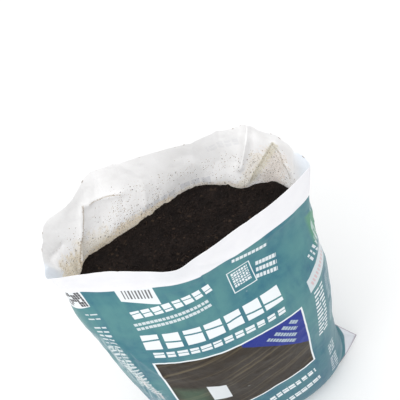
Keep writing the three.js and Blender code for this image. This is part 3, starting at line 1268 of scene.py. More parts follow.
# Painted highlights on the print: the sheen of the wrinkles low on the left gusset, the bright fold
# line at the front right and pale bands along the sides.
PAINTED_HIGHLIGHTS = (
    Smear(((GIRTH - 182, 170), (GIRTH - 150, 350)), 22, srgb(176, 196, 200), 0.6),
    Smear(((GIRTH - 164, 184), (GIRTH - 155, 300)), 13, srgb(212, 222, 220), 0.95, 5),
    Smear(((GIRTH - 158, 268), (GIRTH - 142, 330)), 8, srgb(214, 204, 204), 0.8, 5),
    Smear(((187, 84), (174, 150)), 4.0, srgb(200, 216, 214), 1.0),
    Smear(((196, 110), (204, 330)), 14, srgb(150, 176, 180), 0.6),
    Smear(((GIRTH - 214, 90), (GIRTH - 206, 420)), 20, srgb(150, 176, 180), 0.5),
    Smear(((300, 120), (318, 420)), 12, srgb(140, 168, 172), 0.4),
)


@dataclass(frozen=True)
class PrintedFilm:
    """Glossy polyethylene, unprinted white at the rim and printed teal below."""

    name: str = "printed_film"
    roughness: float = 0.34
    sheen_variation: float = 0.12
    specular_level: float = 0.13
    crinkle_grain: float = 15.0
    crinkle_depth: float = 0.35
    panel_streaks: float = 0.45
    # Painted shade that darkens the print towards the bottom of the sack:
    painted_shade_from: float = 170.0
    painted_shade_full_at: float = 540.0
    painted_shade_strength: float = 0.5
    painted_shade_ink: Colour = srgb(38, 86, 112)
    band_light: Colour = srgb(241, 241, 243)
    band_shade: Colour = srgb(231, 231, 236)
    scuff_spacing: float = 17.0
    scuff_size: float = 0.09
    scuff_density: float = 0.2
    scuff_strength: float = 0.45
    scuff_tint: Colour = srgb(216, 224, 222)
    blue_dark: Colour = srgb(16, 26, 118)
    blue_light: Colour = srgb(26, 54, 150)
    field_dark: Colour = srgb(24, 17, 11)
    field_light: Colour = srgb(54, 43, 29)
    field_streak: Colour = srgb(138, 124, 94)
    band_softness: float = 0.4
    smear_margin: float = 12.0

    def build(self, groups: FilmGroups, zone: PrintZone) -> bpy.types.Material:
        """Make the material.

        Args:
            groups: The shared node groups.
            zone: The part of the film that it covers.

        Returns:
            The material of that part of the sack's outside.
        """
        material, graph = new_material(f"{self.name}_{zone.name.lower()}")
        places = graph.use(groups.places).outputs
        film = {"Around": places["Around"], "Down": places["Down"]}
        flat = graph.vector(places["Around"], places["Down"])
        ground = graph.use(groups.ground, film).outputs[0]
        # Painted shade: the print is darkened towards the bottom of the sack.
        deep = graph.spread(places["Down"], self.painted_shade_from, self.painted_shade_full_at)
        colour = graph.mix(graph.math("MULTIPLY", deep, self.painted_shade_strength), ground, self.painted_shade_ink)
        for item in PRINT:
            if not zone.meets(item.box()):
                continue
            where = {"Across": places[item.panel.value], "Down": places["Down"]}
            if isinstance(item, Patch):
                mask = self.patch_mask(graph, groups, item, where)
            else:
                mask = self.row_mask(graph, groups, item, where)
            ink = item.ink.value
            if item.ink is Ink.BROWN:
                ink = self.picture(graph, places)
            elif item.ink is Ink.TEAL:
                ink = ground
            elif item.ink is Ink.BLUE:
                ink = graph.mix(graph.noise(flat, 0.03), self.blue_dark, self.blue_light)
            if item.strength != 1.0:
                mask = graph.math("MULTIPLY", mask, item.strength)
            colour = graph.mix(mask, colour, ink)
        # Painted highlights along the folds and wrinkles.
        colour = self.add_painted_highlights(graph, groups, zone, film, colour)
        soft = self.band_softness
        band = graph.spread(places["Down"], BAND_DEPTH + soft, BAND_DEPTH - soft)
        tint = graph.mix(graph.noise(flat, 0.045), self.band_light, self.band_shade)
        colour = graph.mix(band, colour, tint)
        scuffs = graph.use(groups.specks, {
            **film, "Spacing": self.scuff_spacing, "Size": self.scuff_size,
            "Density": self.scuff_density,
        }).outputs[0]
        scuffs = graph.math("MULTIPLY", scuffs, self.scuff_strength)
        colour = graph.mix(scuffs, colour, self.scuff_tint)
        height = graph.use(groups.crinkle, {
            **film, "Grain": self.crinkle_grain, "Depth": self.crinkle_depth,
        }).outputs[0]
        wear = graph.noise(flat, 0.05, 3.0)
        smoothest = self.roughness - self.sheen_variation / 2
        roughness = graph.math("MULTIPLY_ADD", wear, self.sheen_variation, smoothest)
        lay_surface(graph, height, {
            "Base Color": colour, "Roughness": roughness,
            "Specular IOR Level": self.specular_level,
        })
        return material

    def add_painted_highlights(
        self, graph: Graph, groups: FilmGroups, zone: PrintZone, film: dict, colour: object
    ) -> bpy.types.NodeSocket:
        """Add painted highlights: pale streaks along the sheen of the folds and wrinkles.

        Args:
            graph: The material's graph.
            groups: The shared node groups.
            zone: The part of the film that the material covers.
            film: The place on the film, as the inputs of a group.
            colour: The colour so far.

        Returns:
            The colour with the streaks.
        """
        streak = graph.use(groups.streaks, film).outputs[0]
        for smear in PAINTED_HIGHLIGHTS:
            (ax, ay), (bx, by) = smear.path
            margin = self.smear_margin
            if not zone.meets((min(ax, bx) - margin, max(ax, bx) + margin, ay, by)):
                continue
            mask = graph.use(groups.smear, {
                **film, "From Around": ax, "From Down": ay, "To Around": bx, "To Down": by,
                "Half Width": smear.half_width, "Grain": smear.grain,
            }).outputs[0]
            mask = graph.math("MULTIPLY", graph.math("MULTIPLY", mask, streak), smear.strength)
            colour = graph.mix(mask, colour, smear.tint)
        return colour

    def picture(self, graph: Graph, places: bpy.types.NodeOutputs) -> bpy.types.NodeSocket:
        """Make the plain dark field of the picture panel, with faint slanting streaks.

        Args:
            graph: The material's graph.
            places: Where a point lies on the film.

        Returns:
            The field's colour.
        """
        slant = graph.vector(
            graph.math("MULTIPLY_ADD", places["Down"], 0.45, places["Across"]),
            graph.math("MULTIPLY_ADD", places["Across"], 0.28, places["Down"]),
        )
        stretched = graph.node(
            "ShaderNodeVectorMath", {0: slant, 1: (0.006, 0.11, 1.0)}, operation="MULTIPLY"
        ).outputs[0]
        streak = graph.spread(graph.noise(stretched, 1.0, 3.0), 0.48, 0.78)
        flat = graph.vector(places["Across"], places["Down"])
        clods = graph.noise(flat, 0.16, 4.0)
        earth = graph.mix(clods, self.field_dark, self.field_light)
        streak = graph.math("MULTIPLY", streak, self.panel_streaks)
        return graph.mix(streak, earth, self.field_streak)

    @staticmethod
    def patch_mask(
        graph: Graph, groups: FilmGroups, item: Patch, where: dict
    ) -> bpy.types.NodeSocket:
        """Tell where a patch is printed.

        Args:
            graph: The material's graph.
            groups: The shared node groups.
            item: The patch.
            where: The place on the film, as the inputs of a group.

        Returns:
            The mask.
        """
        values = {
            "Left": item.left, "Right": item.right, "Top": item.top, "Bottom": item.bottom,
            "Top Slope": item.top_slope, "Bottom Slope": item.bottom_slope,
            "Softness": item.softness,
        }
        return graph.use(groups.patch, {**where, **values}).outputs[0]

    @staticmethod
    def row_mask(
        graph: Graph, groups: FilmGroups, item: BlockRow, where: dict
    ) -> bpy.types.NodeSocket:
        """Tell where rows of blocks are printed.

        Args:
            graph: The material's graph.
            groups: The shared node groups.
            item: The rows.
            where: The place on the film, as the inputs of a group.

        Returns:
            The mask.
        """
        angle = math.radians(item.angle)
        values = {
            "Start Across": item.across, "Start Down": item.down,
            "Along X": math.cos(angle), "Along Y": math.sin(angle), "Length": item.length,
            "Height": item.height, "Pitch": item.pitch, "Slit": item.slit, "Seed": item.seed,
            "Words": item.words, "Rows": float(item.rows), "Row Step": item.row_step,
            "Stagger": item.stagger, "Growth": item.growth, "Fill": item.fill,
        }
        return graph.use(groups.blocks, {**where, **values}).outputs[0]


STAINS_AND_PAINTED_LIGHT = (
    # Painted shade on the free film at the upper left, then painted bluish light in the inner
    # corners at the right and the left.
    Smear(((640, 16), (570, 22)), 34, srgb(230, 230, 230), 0.45, 40, False),
    Smear(((206, 8), (200, 110)), 26, srgb(236, 243, 251), 0.9, 40, False),
    Smear(((676, 10), (668, 108)), 24, srgb(230, 237, 245), 0.9, 40, False),
    # Painted shade either side of the inward ridge.
    Smear(((297, 0), (309, 36), (321, 72)), 11, srgb(224, 223, 223), 0.8, 40, False),
    # Stains of soil along the soil line and the folds.
    Smear(((440, 112), (600, 108)), 15, srgb(222, 202, 164), 0.7, 7),
    Smear(((596, 80), (556, 98)), 22, srgb(222, 210, 184), 0.5),
    Smear(((648, 66), (616, 92)), 23, srgb(222, 208, 178), 0.8),
    Smear(((609, 101), (593, 70), (555, 23)), 1.9, srgb(150, 130, 104), 0.6, 2.5),
    Smear(((548, 30), (505, 56)), 1.6, srgb(150, 132, 104), 0.5, 2.5),
    Smear(((266, 50), (276, 100)), 27, srgb(226, 214, 202), 0.7, 6),
    Smear(((262, 22), (282, 54), (305, 104)), 7.5, srgb(206, 198, 160), 0.5, 3),
    Smear(((296, 58), (316, 104)), 13, srgb(226, 218, 204), 0.65, 5),
    Smear(((264, 17), (284, 52), (308, 104)), 2.4, srgb(132, 122, 84), 0.42, 1.6),
    Smear(((264, 19), (254, 50), (242, 76)), 2.4, srgb(122, 108, 80), 0.42, 1.6),
    Smear(((326, 108), (420, 108)), 11, srgb(214, 200, 172), 0.5, 6),
    # Painted highlight along the top of that ridge.
    Smear(((297, 0), (309, 36), (320, 70)), 1.3, srgb(255, 255, 255), 1.0, 60, False),
)


# Painted shadows of the back panel's print, seen through the film from inside.
SHOW_THROUGH = (
    BlockRow(Ink.SHADOW, 366, 98, 4, 50, 26, 17.0, 91.0, 0.1, 0.3, 0.0, Panel.ROUND),
    BlockRow(Ink.SHADOW, 316, 26, 4, 48, 12, 11.0, 92.0, 0.1, 0.12, 0.0, Panel.ROUND),
    BlockRow(Ink.SHADOW, 425, 100, 2, 58, 18, 13.0, 93.0, 0.1, 0.3, 0.0, Panel.ROUND),
)


@dataclass(frozen=True)
class SpeckLayer:
    """Specks of one size and colour that soil has left on the film."""

    spacing: float
    size: float
    density: float
    ink: Colour


SPECK_LAYERS = (
    SpeckLayer(2.1, 0.32, 0.68, srgb(108, 94, 72)),
    SpeckLayer(4.2, 0.22, 0.5, srgb(70, 58, 48)),
    SpeckLayer(1.7, 0.36, 0.9, srgb(162, 148, 124)),
)


@dataclass(frozen=True)
class InnerFilm:
    """The unprinted white inside of the film, dirty above the soil."""

    name: str = "inner_film"
    roughness: float = 0.42
    dirt_roughness: float = 0.3
    dirt_from: float = 28.0
    dirt_full: float = 122.0
    # A painted glow standing in for light coming through the film:
    painted_glow: float = 0.18
    clean: Colour = srgb(243, 243, 244)
    shade: Colour = srgb(232, 231, 230)
    speck_strength: float = 0.85
    edge_width: float = 2.6
    edge_tint: Colour = srgb(150, 140, 128)
    crinkle_grain: float = 17.0
    crinkle_depth: float = 1.0

    def build(self, groups: FilmGroups) -> bpy.types.Material:
        """Make the material.

        Args:
            groups: The shared node groups.

        Returns:
            The material of the sack's inside.
        """
        material, graph = new_material(self.name)
        places = graph.use(groups.places).outputs
        where = {"Around": places["Around"], "Down": places["Down"]}
        flat = graph.vector(places["Around"], places["Down"])
        colour = graph.mix(graph.noise(flat, 0.03, 3.0), self.clean, self.shade)
        spot = {"Across": places["Around"], "Down": places["Down"]}
        # Painted shadows of the print behind the film.
        for row in SHOW_THROUGH:
            mask = PrintedFilm.row_mask(graph, groups, row, spot)
            colour = graph.mix(graph.math("MULTIPLY", mask, row.strength), colour, row.ink.value)
        soiled: object = 0.0
        mottle = graph.spread(graph.noise(flat, 0.5, 3.0), 0.36, 0.56)
        mottle = graph.math("MULTIPLY_ADD", mottle, 0.55, 0.45)
        # Stains, and where dirty is False, painted light and shade.
        for smear in STAINS_AND_PAINTED_LIGHT:
            mask = None
            for (ax, ay), (bx, by) in zip(smear.path[:-1], smear.path[1:]):
                part = graph.use(groups.smear, {
                    **where, "From Around": ax, "From Down": ay, "To Around": bx, "To Down": by,
                    "Half Width": smear.half_width, "Grain": smear.grain,
                }).outputs[0]
                mask = part if mask is None else graph.math("MAXIMUM", mask, part)
            mask = graph.math("MULTIPLY", mask, smear.strength)
            if smear.dirty:
                soiled = graph.math("MAXIMUM", soiled, mask)
                mask = graph.math("MULTIPLY", mask, mottle)
            colour = graph.mix(mask, colour, smear.tint)
        low = graph.spread(places["Down"], self.dirt_from, self.dirt_full)
        patchy = graph.spread(graph.noise(flat, 0.028, 2.0), 0.42, 0.62)
        dirt = graph.math("MULTIPLY", low, graph.math("MULTIPLY_ADD", patchy, 0.8, 0.2))
        dirt = graph.math("MAXIMUM", dirt, soiled)
        for layer in SPECK_LAYERS:
            specks = graph.use(groups.specks, {
                **where, "Spacing": layer.spacing, "Size": layer.size,
                "Density": graph.math("MULTIPLY", dirt, layer.density),
            }).outputs[0]
            specks = graph.math("MULTIPLY", specks, self.speck_strength)
            colour = graph.mix(specks, colour, layer.ink)
        edge = graph.spread(places["Down"], self.edge_width, 0.4)
        nicks = graph.spread(graph.noise(flat, 0.09, 1.0), 0.58, 0.7)
        colour = graph.mix(graph.math("MULTIPLY", edge, nicks), colour, self.edge_tint)
        height = graph.use(groups.crinkle, {
            **where, "Grain": self.crinkle_grain, "Depth": self.crinkle_depth,
        }).outputs[0]
        roughness = graph.math("MULTIPLY_ADD", dirt, self.dirt_roughness, self.roughness)
        # The emission is a painted glow that stands in for light coming through the film.
        lay_surface(graph, height, {
            "Base Color": colour, "Roughness": roughness,
            "Emission Color": colour, "Emission Strength": self.painted_glow,
        })
        return material


@dataclass(frozen=True)
class SealFilm:
    """The welded corner: white film, with the print ending in an arc near its root."""

    name: str = "seal_film"
    root_share: float = 0.3
    root_swell: float = 0.2
    edge_line: float = 0.035
    edge_tint: Colour = srgb(160, 148, 158)
    light: Colour = srgb(226, 229, 234)
    shade: Colour = srgb(206, 209, 216)
    width: float = 60.0
    reach: float = 50.0
    roughness: float = 0.36
    crinkle_grain: float = 9.0
    crinkle_depth: float = 0.3

    def build(self, groups: FilmGroups) -> bpy.types.Material:
        """Make the material.

        Args:
            groups: The shared node groups.

        Returns:
            The material of both corner seals.
        """
        material, graph = new_material(self.name)
        chart = graph.node("ShaderNodeUVMap", uv_map="film").outputs[0]
        axes = graph.node("ShaderNodeSeparateXYZ", {0: chart}).outputs
        bow = graph.math("SINE", graph.math("MULTIPLY", axes[0], math.pi))
        arc = graph.math("MULTIPLY_ADD", bow, self.root_swell, self.root_share)
        printed = graph.spread(graph.math("SUBTRACT", axes[1], arc), 0.02, -0.02)
        where = {
            "Around": graph.math("MULTIPLY", axes[0], self.width),
            "Down": graph.math("MULTIPLY", axes[1], self.reach),
        }
        flat = graph.vector(where["Around"], where["Down"])
        white = graph.mix(graph.noise(flat, 0.1, 3.0), self.shade, self.light)
        colour = graph.mix(printed, white, graph.use(groups.ground, where).outputs[0])
        side = graph.math("MINIMUM", axes[0], graph.math("SUBTRACT", 1.0, axes[0]))
        side = graph.math("MULTIPLY", side, graph.math("SUBTRACT", 1.0, axes[1]))
        line = graph.spread(side, self.edge_line, self.edge_line * 0.4)
        colour = graph.mix(graph.math("MULTIPLY", line, 0.7), colour, self.edge_tint)
        height = graph.use(groups.crinkle, {
            **where, "Grain": self.crinkle_grain, "Depth": self.crinkle_depth,
        }).outputs[0]
        roughness = graph.math("MULTIPLY_ADD", line, 0.1, self.roughness)
        lay_surface(graph, height, {"Base Color": colour, "Roughness": roughness})
        return material


@dataclass(frozen=True)
class Earth:
    """Dark, crumbly soil."""

    name: str
    dark: Colour
    light: Colour
    grain: float = 3.0
    roughness: float = 0.92
    specular_level: float = 0.25
    bump_depth: float = 1.2
    bump_strength: float = 0.9

    def build(self, groups: FilmGroups) -> bpy.types.Material:
        """Make the material.

        Args:
            groups: The shared node groups.

        Returns:
            The material.
        """
        material, graph = new_material(self.name)
        soil = graph.use(groups.earth, {
            "Scale": 1 / (self.grain * MM), "Dark": self.dark, "Light": self.light,
        }).outputs
        roughness = graph.math("MULTIPLY_ADD", soil["Grain"], 0.1, self.roughness - 0.05)
        inputs = {
            "Base Color": soil["Color"], "Roughness": roughness,
            "Specular IOR Level": self.specular_level,
        }
        lay_surface(graph, soil["Height"], inputs, self.bump_depth * MM, self.bump_strength)
        return material


# ---------------------------------------------------------------------------------------------
# The pieces


@dataclass
class FilmSack:
    """The thin closed tube of film, open at the mouth and flat at the base."""

    surface: FilmSurface
    wall: float = 0.35
    seen_inner_rows: int = 54
    hidden_row_step: int = 15
    hidden_clearance: float = 3.0
    skin: np.ndarray = field(init=False)
    down: np.ndarray = field(init=False)
    lining: np.ndarray = field(init=False)

    def __post_init__(self) -> None:
        """Work out the outer skin and the lining."""
        self.skin, self.down, outwards = self.surface.wrinkled()
        inset = np.full(len(self.skin), self.wall)
        inset[self.seen_inner_rows + 1 :] += self.hidden_clearance
        self.lining = self.skin - outwards * inset[:, None, None]
        self.lining[..., 2] = np.maximum(self.lining[..., 2], self.wall)

    def chart_columns(self) -> np.ndarray:
        """Place the columns on the chart.

        Returns:
            The chart position of the left and the right side of every column.
        """
        around = self.surface.around()
        right = np.append(around[1:], GIRTH)
        sides = np.column_stack((around, right))
        sides[around >= GIRTH / 2 - NO_LENGTH] -= GIRTH
        return sides / GIRTH + 0.5

    def zones(self) -> np.ndarray:
        """Share the outer skin out among the print zones.

        Returns:
            The number of the zone of each face, by row and column.
        """
        around = (self.chart_columns().mean(axis=1) - 0.5) * GIRTH
        down = (self.down[:-1] + self.down[1:]) / 2
        across = np.broadcast_to(around, down.shape)
        numbers = np.zeros(down.shape, dtype=int)
        for number, zone in enumerate(PrintZone):
            numbers[zone.holds(across, down)] = number
        return numbers

    def build(self) -> Draft:
        """Build the closed mesh: one finish for each print zone outside, the last inside.

        Returns:
            The draft.
        """
        draft = Draft()
        lining_finish = len(PrintZone)
        zones = self.zones()
        columns = self.chart_columns()
        depth = 1 - self.down / CHART_DEPTH
        last = len(self.skin) - 1
        outer = [draft.add(row) for row in self.skin]
        for row in range(last):
            depths = (depth[row], depth[row + 1])
            draft.band(outer[row], outer[row + 1], False, zones[row], columns, depths)
        self.close(draft, outer[last], self.skin[last], False, int(zones[last - 1, 0]))
        seen = self.seen_inner_rows
        step = self.hidden_row_step
        rows = [*range(seen + 1), *range(seen + step, last, step), last]
        inner = {row: draft.add(self.lining[row]) for row in rows}
        draft.band(inner[0], outer[0], False, lining_finish, columns, (depth[0], depth[0]))
        for upper, lower in zip(rows[:-1], rows[1:]):
            depths = (depth[upper], depth[lower])
            draft.band(inner[upper], inner[lower], True, lining_finish, columns, depths)
        self.close(draft, inner[last], self.lining[last], True, lining_finish)
        return draft

    @staticmethod
    def close(
        draft: Draft, ring: np.ndarray, points: np.ndarray, inward: bool, finish: int
    ) -> None:
        """Close the foot of one skin with rings that shrink to its middle.

        Args:
            draft: The draft to add to.
            ring: Vertex numbers of the skin's last ring.
            points: The points of that ring.
            inward: Whether the faces look into the sack.
            finish: The number of the finish.
        """
        middle = points.mean(axis=0)
        for share in (0.3, 0.65):
            inner = draft.add(points + (middle - points) * share)
            draft.band(ring, inner, inward, finish)
            ring = inner
        draft.cap(ring, int(draft.add(middle)[0]), inward, finish)

    def dress(self, groups: FilmGroups) -> bpy.types.Object:
        """Build the piece with its finishes and tie it to the frame.

        Args:
            groups: The shared node groups.

        Returns:
            The sack.
        """
        finishes = [PrintedFilm().build(groups, zone) for zone in PrintZone]
        finishes.append(InnerFilm().build(groups))
        piece = self.build().piece("film_sack", finishes)
        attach(piece, "root")
        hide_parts("film_bag")
        return piece


@dataclass
class CornerSeal:
    """A flat welded corner of the film that stands out at the foot."""

    name: str
    top: tuple[float, float, float]
    tip: tuple[float, float, float]
    low: tuple[float, float, float]
    inset: float = 9.0
    thickness: float = 0.7
    cells: int = 26
    bow: float = 2.6

    def build(self) -> Draft:
        """Build the closed plate over a grid from its root to its tip.

        Returns:
            The draft.
        """
        top, tip, low = (np.array(p) + CENTRE_SHIFT for p in (self.top, self.tip, self.low))
        inward = (top + low) / 2 - tip
        inward = inward / np.linalg.norm(inward) * self.inset
        normal = np.cross(top - tip, low - tip)
        normal /= np.linalg.norm(normal)
        share = np.linspace(0, 1, self.cells + 1)
        root_share, reach = np.meshgrid(share, share * 0.985)
        root = (top + inward) + root_share[..., None] * (low - top)
        points = root + reach[..., None] * (tip - root)
        wave = self.bow * np.sin(np.pi * reach) * np.sin(2.2 * np.pi * root_share + 0.6)
        wave += 0.8 * reach * np.sin(9 * root_share + 4 * reach)
        middle = points + normal * wave[..., None]
        draft = Draft()
        front = draft.add((middle + normal * self.thickness / 2).reshape(-1, 3))
        back = draft.add((middle - normal * self.thickness / 2).reshape(-1, 3))
        size = self.cells + 1
        chart = np.column_stack((root_share.ravel(), reach.ravel()))
        for row in range(self.cells):
            for column in range(self.cells):
                a = row * size + column
                loop = [a, a + 1, a + size + 1, a + size]
                marks = [tuple(chart[k]) for k in loop]
                draft.face([int(front[k]) for k in loop], marks, 0)
                draft.face([int(back[k]) for k in reversed(loop)], marks[::-1], 0)
        edge = [*range(size), *(size * k + size - 1 for k in range(1, size))]
        edge += [size * size - 1 - k for k in range(1, size)]
        edge += [size * k for k in range(size - 2, 0, -1)]
        for a, b in zip(edge, edge[1:] + edge[:1]):
            marks = [tuple(chart[k]) for k in (a, a, b, b)]
            draft.face([int(front[a]), int(back[a]), int(back[b]), int(front[b])], marks, 0)
        return draft

    def dress(self, finish: bpy.types.Material) -> bpy.types.Object:
        """Build the piece with its finish and tie it to the frame.

        Args:
            finish: Its material.

        Returns:
            The seal.
        """
        piece = self.build().piece(self.name, [finish])
        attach(piece, "root")
        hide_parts("film_bag")
        return piece


@dataclass
class SoilFill:
    """The loose soil: a rough top that meets the film, on a plain hidden body."""

    sack: FilmSack
    rings: int = 84
    mound: float = 5.0
    hidden_levels: tuple[float, ...] = (424.0, 340.0, 240.0, 140.0, 60.0, 16.0)
    crumbs: int = 1500
    grains: int = 3600
    fibres: int = 60
    clinging: int = 240
    ring_bias: float = 0.94
    rim_gap: float = 0.0006
    body_gap: float = 0.07
    foot_inset: float = 0.14
    foot_height: float = 1.2
    clear_rings: int = 3
    stand_off: float = 0.35
    cling_from: int = 4
    cling_to: int = 38
    cling_spread: float = 5.0
    bare_columns: int = 74
    crumb_sizes: tuple[float, float] = (0.7, 2.3)
    grain_sizes: tuple[float, float] = (0.4, 1.0)
    speck_sizes: tuple[float, float] = (0.2, 0.5)

    def rise(self, x: np.ndarray, y: np.ndarray, share: np.ndarray) -> np.ndarray:
        """Work out the unevenness of the soil's top.

        Args:
            x: Places from left to right.
            y: Places from front to back.
            share: Nought at the film to one at the middle.

        Returns:
            The heights above the soil level.
        """
        def layer(grain: float, seed: int) -> np.ndarray:
            """One layer of unevenness with this grain."""
            flat = np.stack((x / grain, y / grain, np.full(x.shape, 0.37)), axis=-1)
            return lattice_noise(flat, seed)

        height = self.mound * np.sin(share * np.pi / 2)
        height = height + 3.2 * layer(52, 31) + 2.2 * layer(23, 32)
        height += 1.3 * layer(9, 33) + 0.9 * layer(4.6, 34) + 0.8 * layer(2.4, 35)
        return height

    def rim(self) -> np.ndarray:
        """Find the line where the soil meets the film.

        Returns:
            Its points, two for each column of the film.
        """
        lining = self.sack.lining
        doubled = np.empty((len(lining), 2 * lining.shape[1], 3))
        doubled[:, 0::2] = lining
        doubled[:, 1::2] = (lining + np.roll(lining, -1, axis=1)) / 2
        level = np.full(doubled.shape[1], SOIL_LEVEL)
        ring = np.zeros((doubled.shape[1], 3))
        for _ in range(2):
            for column in range(doubled.shape[1]):
                line = doubled[::-1, column]
                ring[column] = [np.interp(level[column], line[:, 2], line[:, k]) for k in range(3)]
            level = SOIL_LEVEL + self.rise(ring[:, 0], ring[:, 1], np.zeros(len(ring)))
        ring[:, 2] = level
        return ring

    def top(self) -> np.ndarray:
        """Place the points of the top.

        Returns:
            Its rings of points, from the film inwards.
        """
        edge = self.rim()
        middle = edge.mean(axis=0)
        made = []
        for k in range(self.rings):
            share = (k / self.rings) ** self.ring_bias
            ring = edge + (middle - edge) * share
            full = np.full(len(ring), share)
            ring[:, 2] = SOIL_LEVEL + self.rise(ring[:, 0], ring[:, 1], full)
            made.append(ring)
        made[0][:, :2] += (middle - made[0])[:, :2] * self.rim_gap
        return np.array(made)

    def build(self, top: np.ndarray) -> Draft:
        """Build the closed soil from its top's rings.

        Args:
            top: The rings of points, from the film inwards.

        Returns:
            The draft.
        """
        draft = Draft()
        rows = [draft.add(ring) for ring in top]
        for upper, lower in zip(rows[:-1], rows[1:]):
            draft.band(upper, lower, True)
        middle = top[0].mean(axis=0)
        height = SOIL_LEVEL + float(self.rise(middle[:1], middle[1:2], np.ones(1))[0])
        draft.cap(rows[-1], int(draft.add(np.array((middle[0], middle[1], height)))[0]), True)
        skin = self.sack.skin
        upper = rows[0]
        for level in self.hidden_levels:
            ring = np.empty_like(top[0])
            for column in range(skin.shape[1]):
                line = skin[::-1, column]
                place = [np.interp(level, line[:, 2], line[:, k]) for k in range(3)]
                ring[2 * column] = place
            ring[1::2] = (ring[0::2] + np.roll(ring[0::2], -1, axis=0)) / 2
            centre = ring.mean(axis=0)
            ring[:, :2] += (centre - ring)[:, :2] * self.body_gap
            lower = draft.add(ring)
            draft.band(upper, lower)
            upper = lower
        flat = ring + (centre - ring) * self.foot_inset
        flat[:, 2] = self.foot_height
        foot = draft.add(flat)
        draft.band(upper, foot)
        draft.cap(foot, int(draft.add(np.array((centre[0], centre[1], self.foot_height)))[0]))
        return draft

    @staticmethod
    def lumps(places: np.ndarray, sizes: np.ndarray, detail: int, seed: int) -> Draft:
        """Small uneven lumps.

        Args:
            places: The middle of each lump.
            sizes: Half sizes of each lump along its own three axes.
            detail: How finely each lump is cut.
            seed: Which random shapes to use.

        Returns:
            A draft that holds every lump.
        """
        dice = np.random.default_rng(seed)
        ball = bpy.data.meshes.new("ball")
        shape = bmesh.new()
        bmesh.ops.create_icosphere(shape, subdivisions=detail, radius=1.0)
        shape.to_mesh(ball)
        shape.free()
        base = np.array([vertex.co[:] for vertex in ball.vertices])
        triangles = np.array([face.vertices[:] for face in ball.polygons])
        bpy.data.meshes.remove(ball)
        draft = Draft()
        for place, size in zip(places, sizes):
            turn, _ = np.linalg.qr(dice.normal(size=(3, 3)))
            if np.linalg.det(turn) < 0:
                turn[:, 0] *= -1
            bumps = dice.uniform(0.72, 1.18, size=(len(base), 1))
            numbers = draft.add((base * bumps * size) @ turn.T + place)
            for triangle in numbers[triangles]:
                draft.face([int(k) for k in triangle], [(0.0, 0.0)] * 3, 0)
        return draft

    def scatter(self, top: np.ndarray, count: int, seed: int) -> np.ndarray:
        """Pick random places on the soil's top, spread evenly over its area.

        Args:
            top: The top's rings of points.
            count: How many places.
            seed: Which random places.

        Returns:
            The places.
        """
        dice = np.random.default_rng(seed)
        ring = (1 - np.sqrt(dice.random(count))) * len(top)
        ring = np.clip(ring, self.clear_rings, len(top) - 1).astype(int)
        column = dice.integers(0, top.shape[1], count)
        return top[ring, column]

    def clinging_places(self, count: int, seed: int) -> np.ndarray:
        """Pick random places on the inside of the film, most of them just above the soil.

        Args:
            count: How many places.
            seed: Which random places.

        Returns:
            The places, a little off the film.
        """
        dice = np.random.default_rng(seed)
        lining = self.sack.lining
        row = self.cling_to - dice.exponential(self.cling_spread, count)
        row = np.clip(row, self.cling_from, self.cling_to).astype(int)
        column = dice.integers(self.bare_columns, lining.shape[1] - self.bare_columns, count)
        inwards = -FilmSurface.normals(lining)[row, column]
        return lining[row, column] + inwards * self.stand_off

    @staticmethod
    def sizes(
        dice: np.random.Generator, span: tuple[float, float], count: int, least: float
    ) -> np.ndarray:
        """Draw the half sizes of lumps.

        Args:
            dice: The random generator to draw from.
            span: Smallest and largest half size.
            count: How many lumps.
            least: The smallest share of it along one axis.

        Returns:
            The half sizes of each lump along its own three axes.
        """
        return dice.uniform(*span, (count, 1)) * dice.uniform(least, 1.2, (count, 3))

    def dress(self, groups: FilmGroups) -> list[bpy.types.Object]:
        """Build the soil, its crumbs and its fibres, and tie them to the frame.

        Args:
            groups: The shared node groups.

        Returns:
            The soil's pieces.
        """
        top = self.top()
        earth = Earth("earth", srgb(22, 16, 14), srgb(44, 34, 29)).build(groups)
        crumb = Earth("crumb", srgb(24, 18, 16), srgb(54, 42, 36), 1.6).build(groups)
        straw = Earth("straw", srgb(60, 46, 36), srgb(108, 88, 68), 1.2, 0.8).build(groups)
        body = self.build(top).piece("soil_fill", [earth])
        dice = np.random.default_rng(7)
        big = self.sizes(dice, self.crumb_sizes, self.crumbs, 0.7)
        loose = self.lumps(self.scatter(top, self.crumbs, 8) + (0, 0, 0.2), big, 2, 9)
        small = self.sizes(dice, self.grain_sizes, self.grains, 0.7)
        fine = self.lumps(self.scatter(top, self.grains, 10) + (0, 0, 0.3), small, 1, 11)
        stuck = self.sizes(dice, self.speck_sizes, self.clinging, 0.6)
        cling = self.lumps(self.clinging_places(self.clinging, 12), stuck, 1, 13)
        thin = np.column_stack((
            dice.uniform(2.0, 5.0, self.fibres), dice.uniform(0.25, 0.5, (self.fibres, 2)),
        ))
        strands = self.lumps(self.scatter(top, self.fibres, 14) + (0, 0, 1.0), thin, 2, 15)
        pieces = [
            body,
            loose.piece("soil_crumbs", [crumb]),
            fine.piece("soil_grains", [crumb]),
            cling.piece("soil_on_film", [crumb]),
            strands.piece("soil_fibres", [straw]),
        ]
        for piece in pieces:
            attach(piece, "root")
            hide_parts("soil")
        return pieces


@dataclass(frozen=True)
class SoftLight:
    """A square soft light that looks at the mouth of the sack, in metres and watts."""

    name: str
    place: tuple[float, float, float]
    size: float
    power: float

    def hang(self) -> None:
        """Add the light to the scene."""
        data = bpy.data.lights.new(self.name, "AREA")
        data.shape, data.size, data.energy = "SQUARE", self.size, self.power
        lamp = bpy.data.objects.new(self.name, data)
        lamp.location = self.place
        aim = Vector((0.0, 0.0, 0.4)) - Vector(self.place)
        lamp.rotation_euler = aim.to_track_quat("-Z", "Y").to_euler()
        bpy.context.scene.collection.objects.link(lamp)


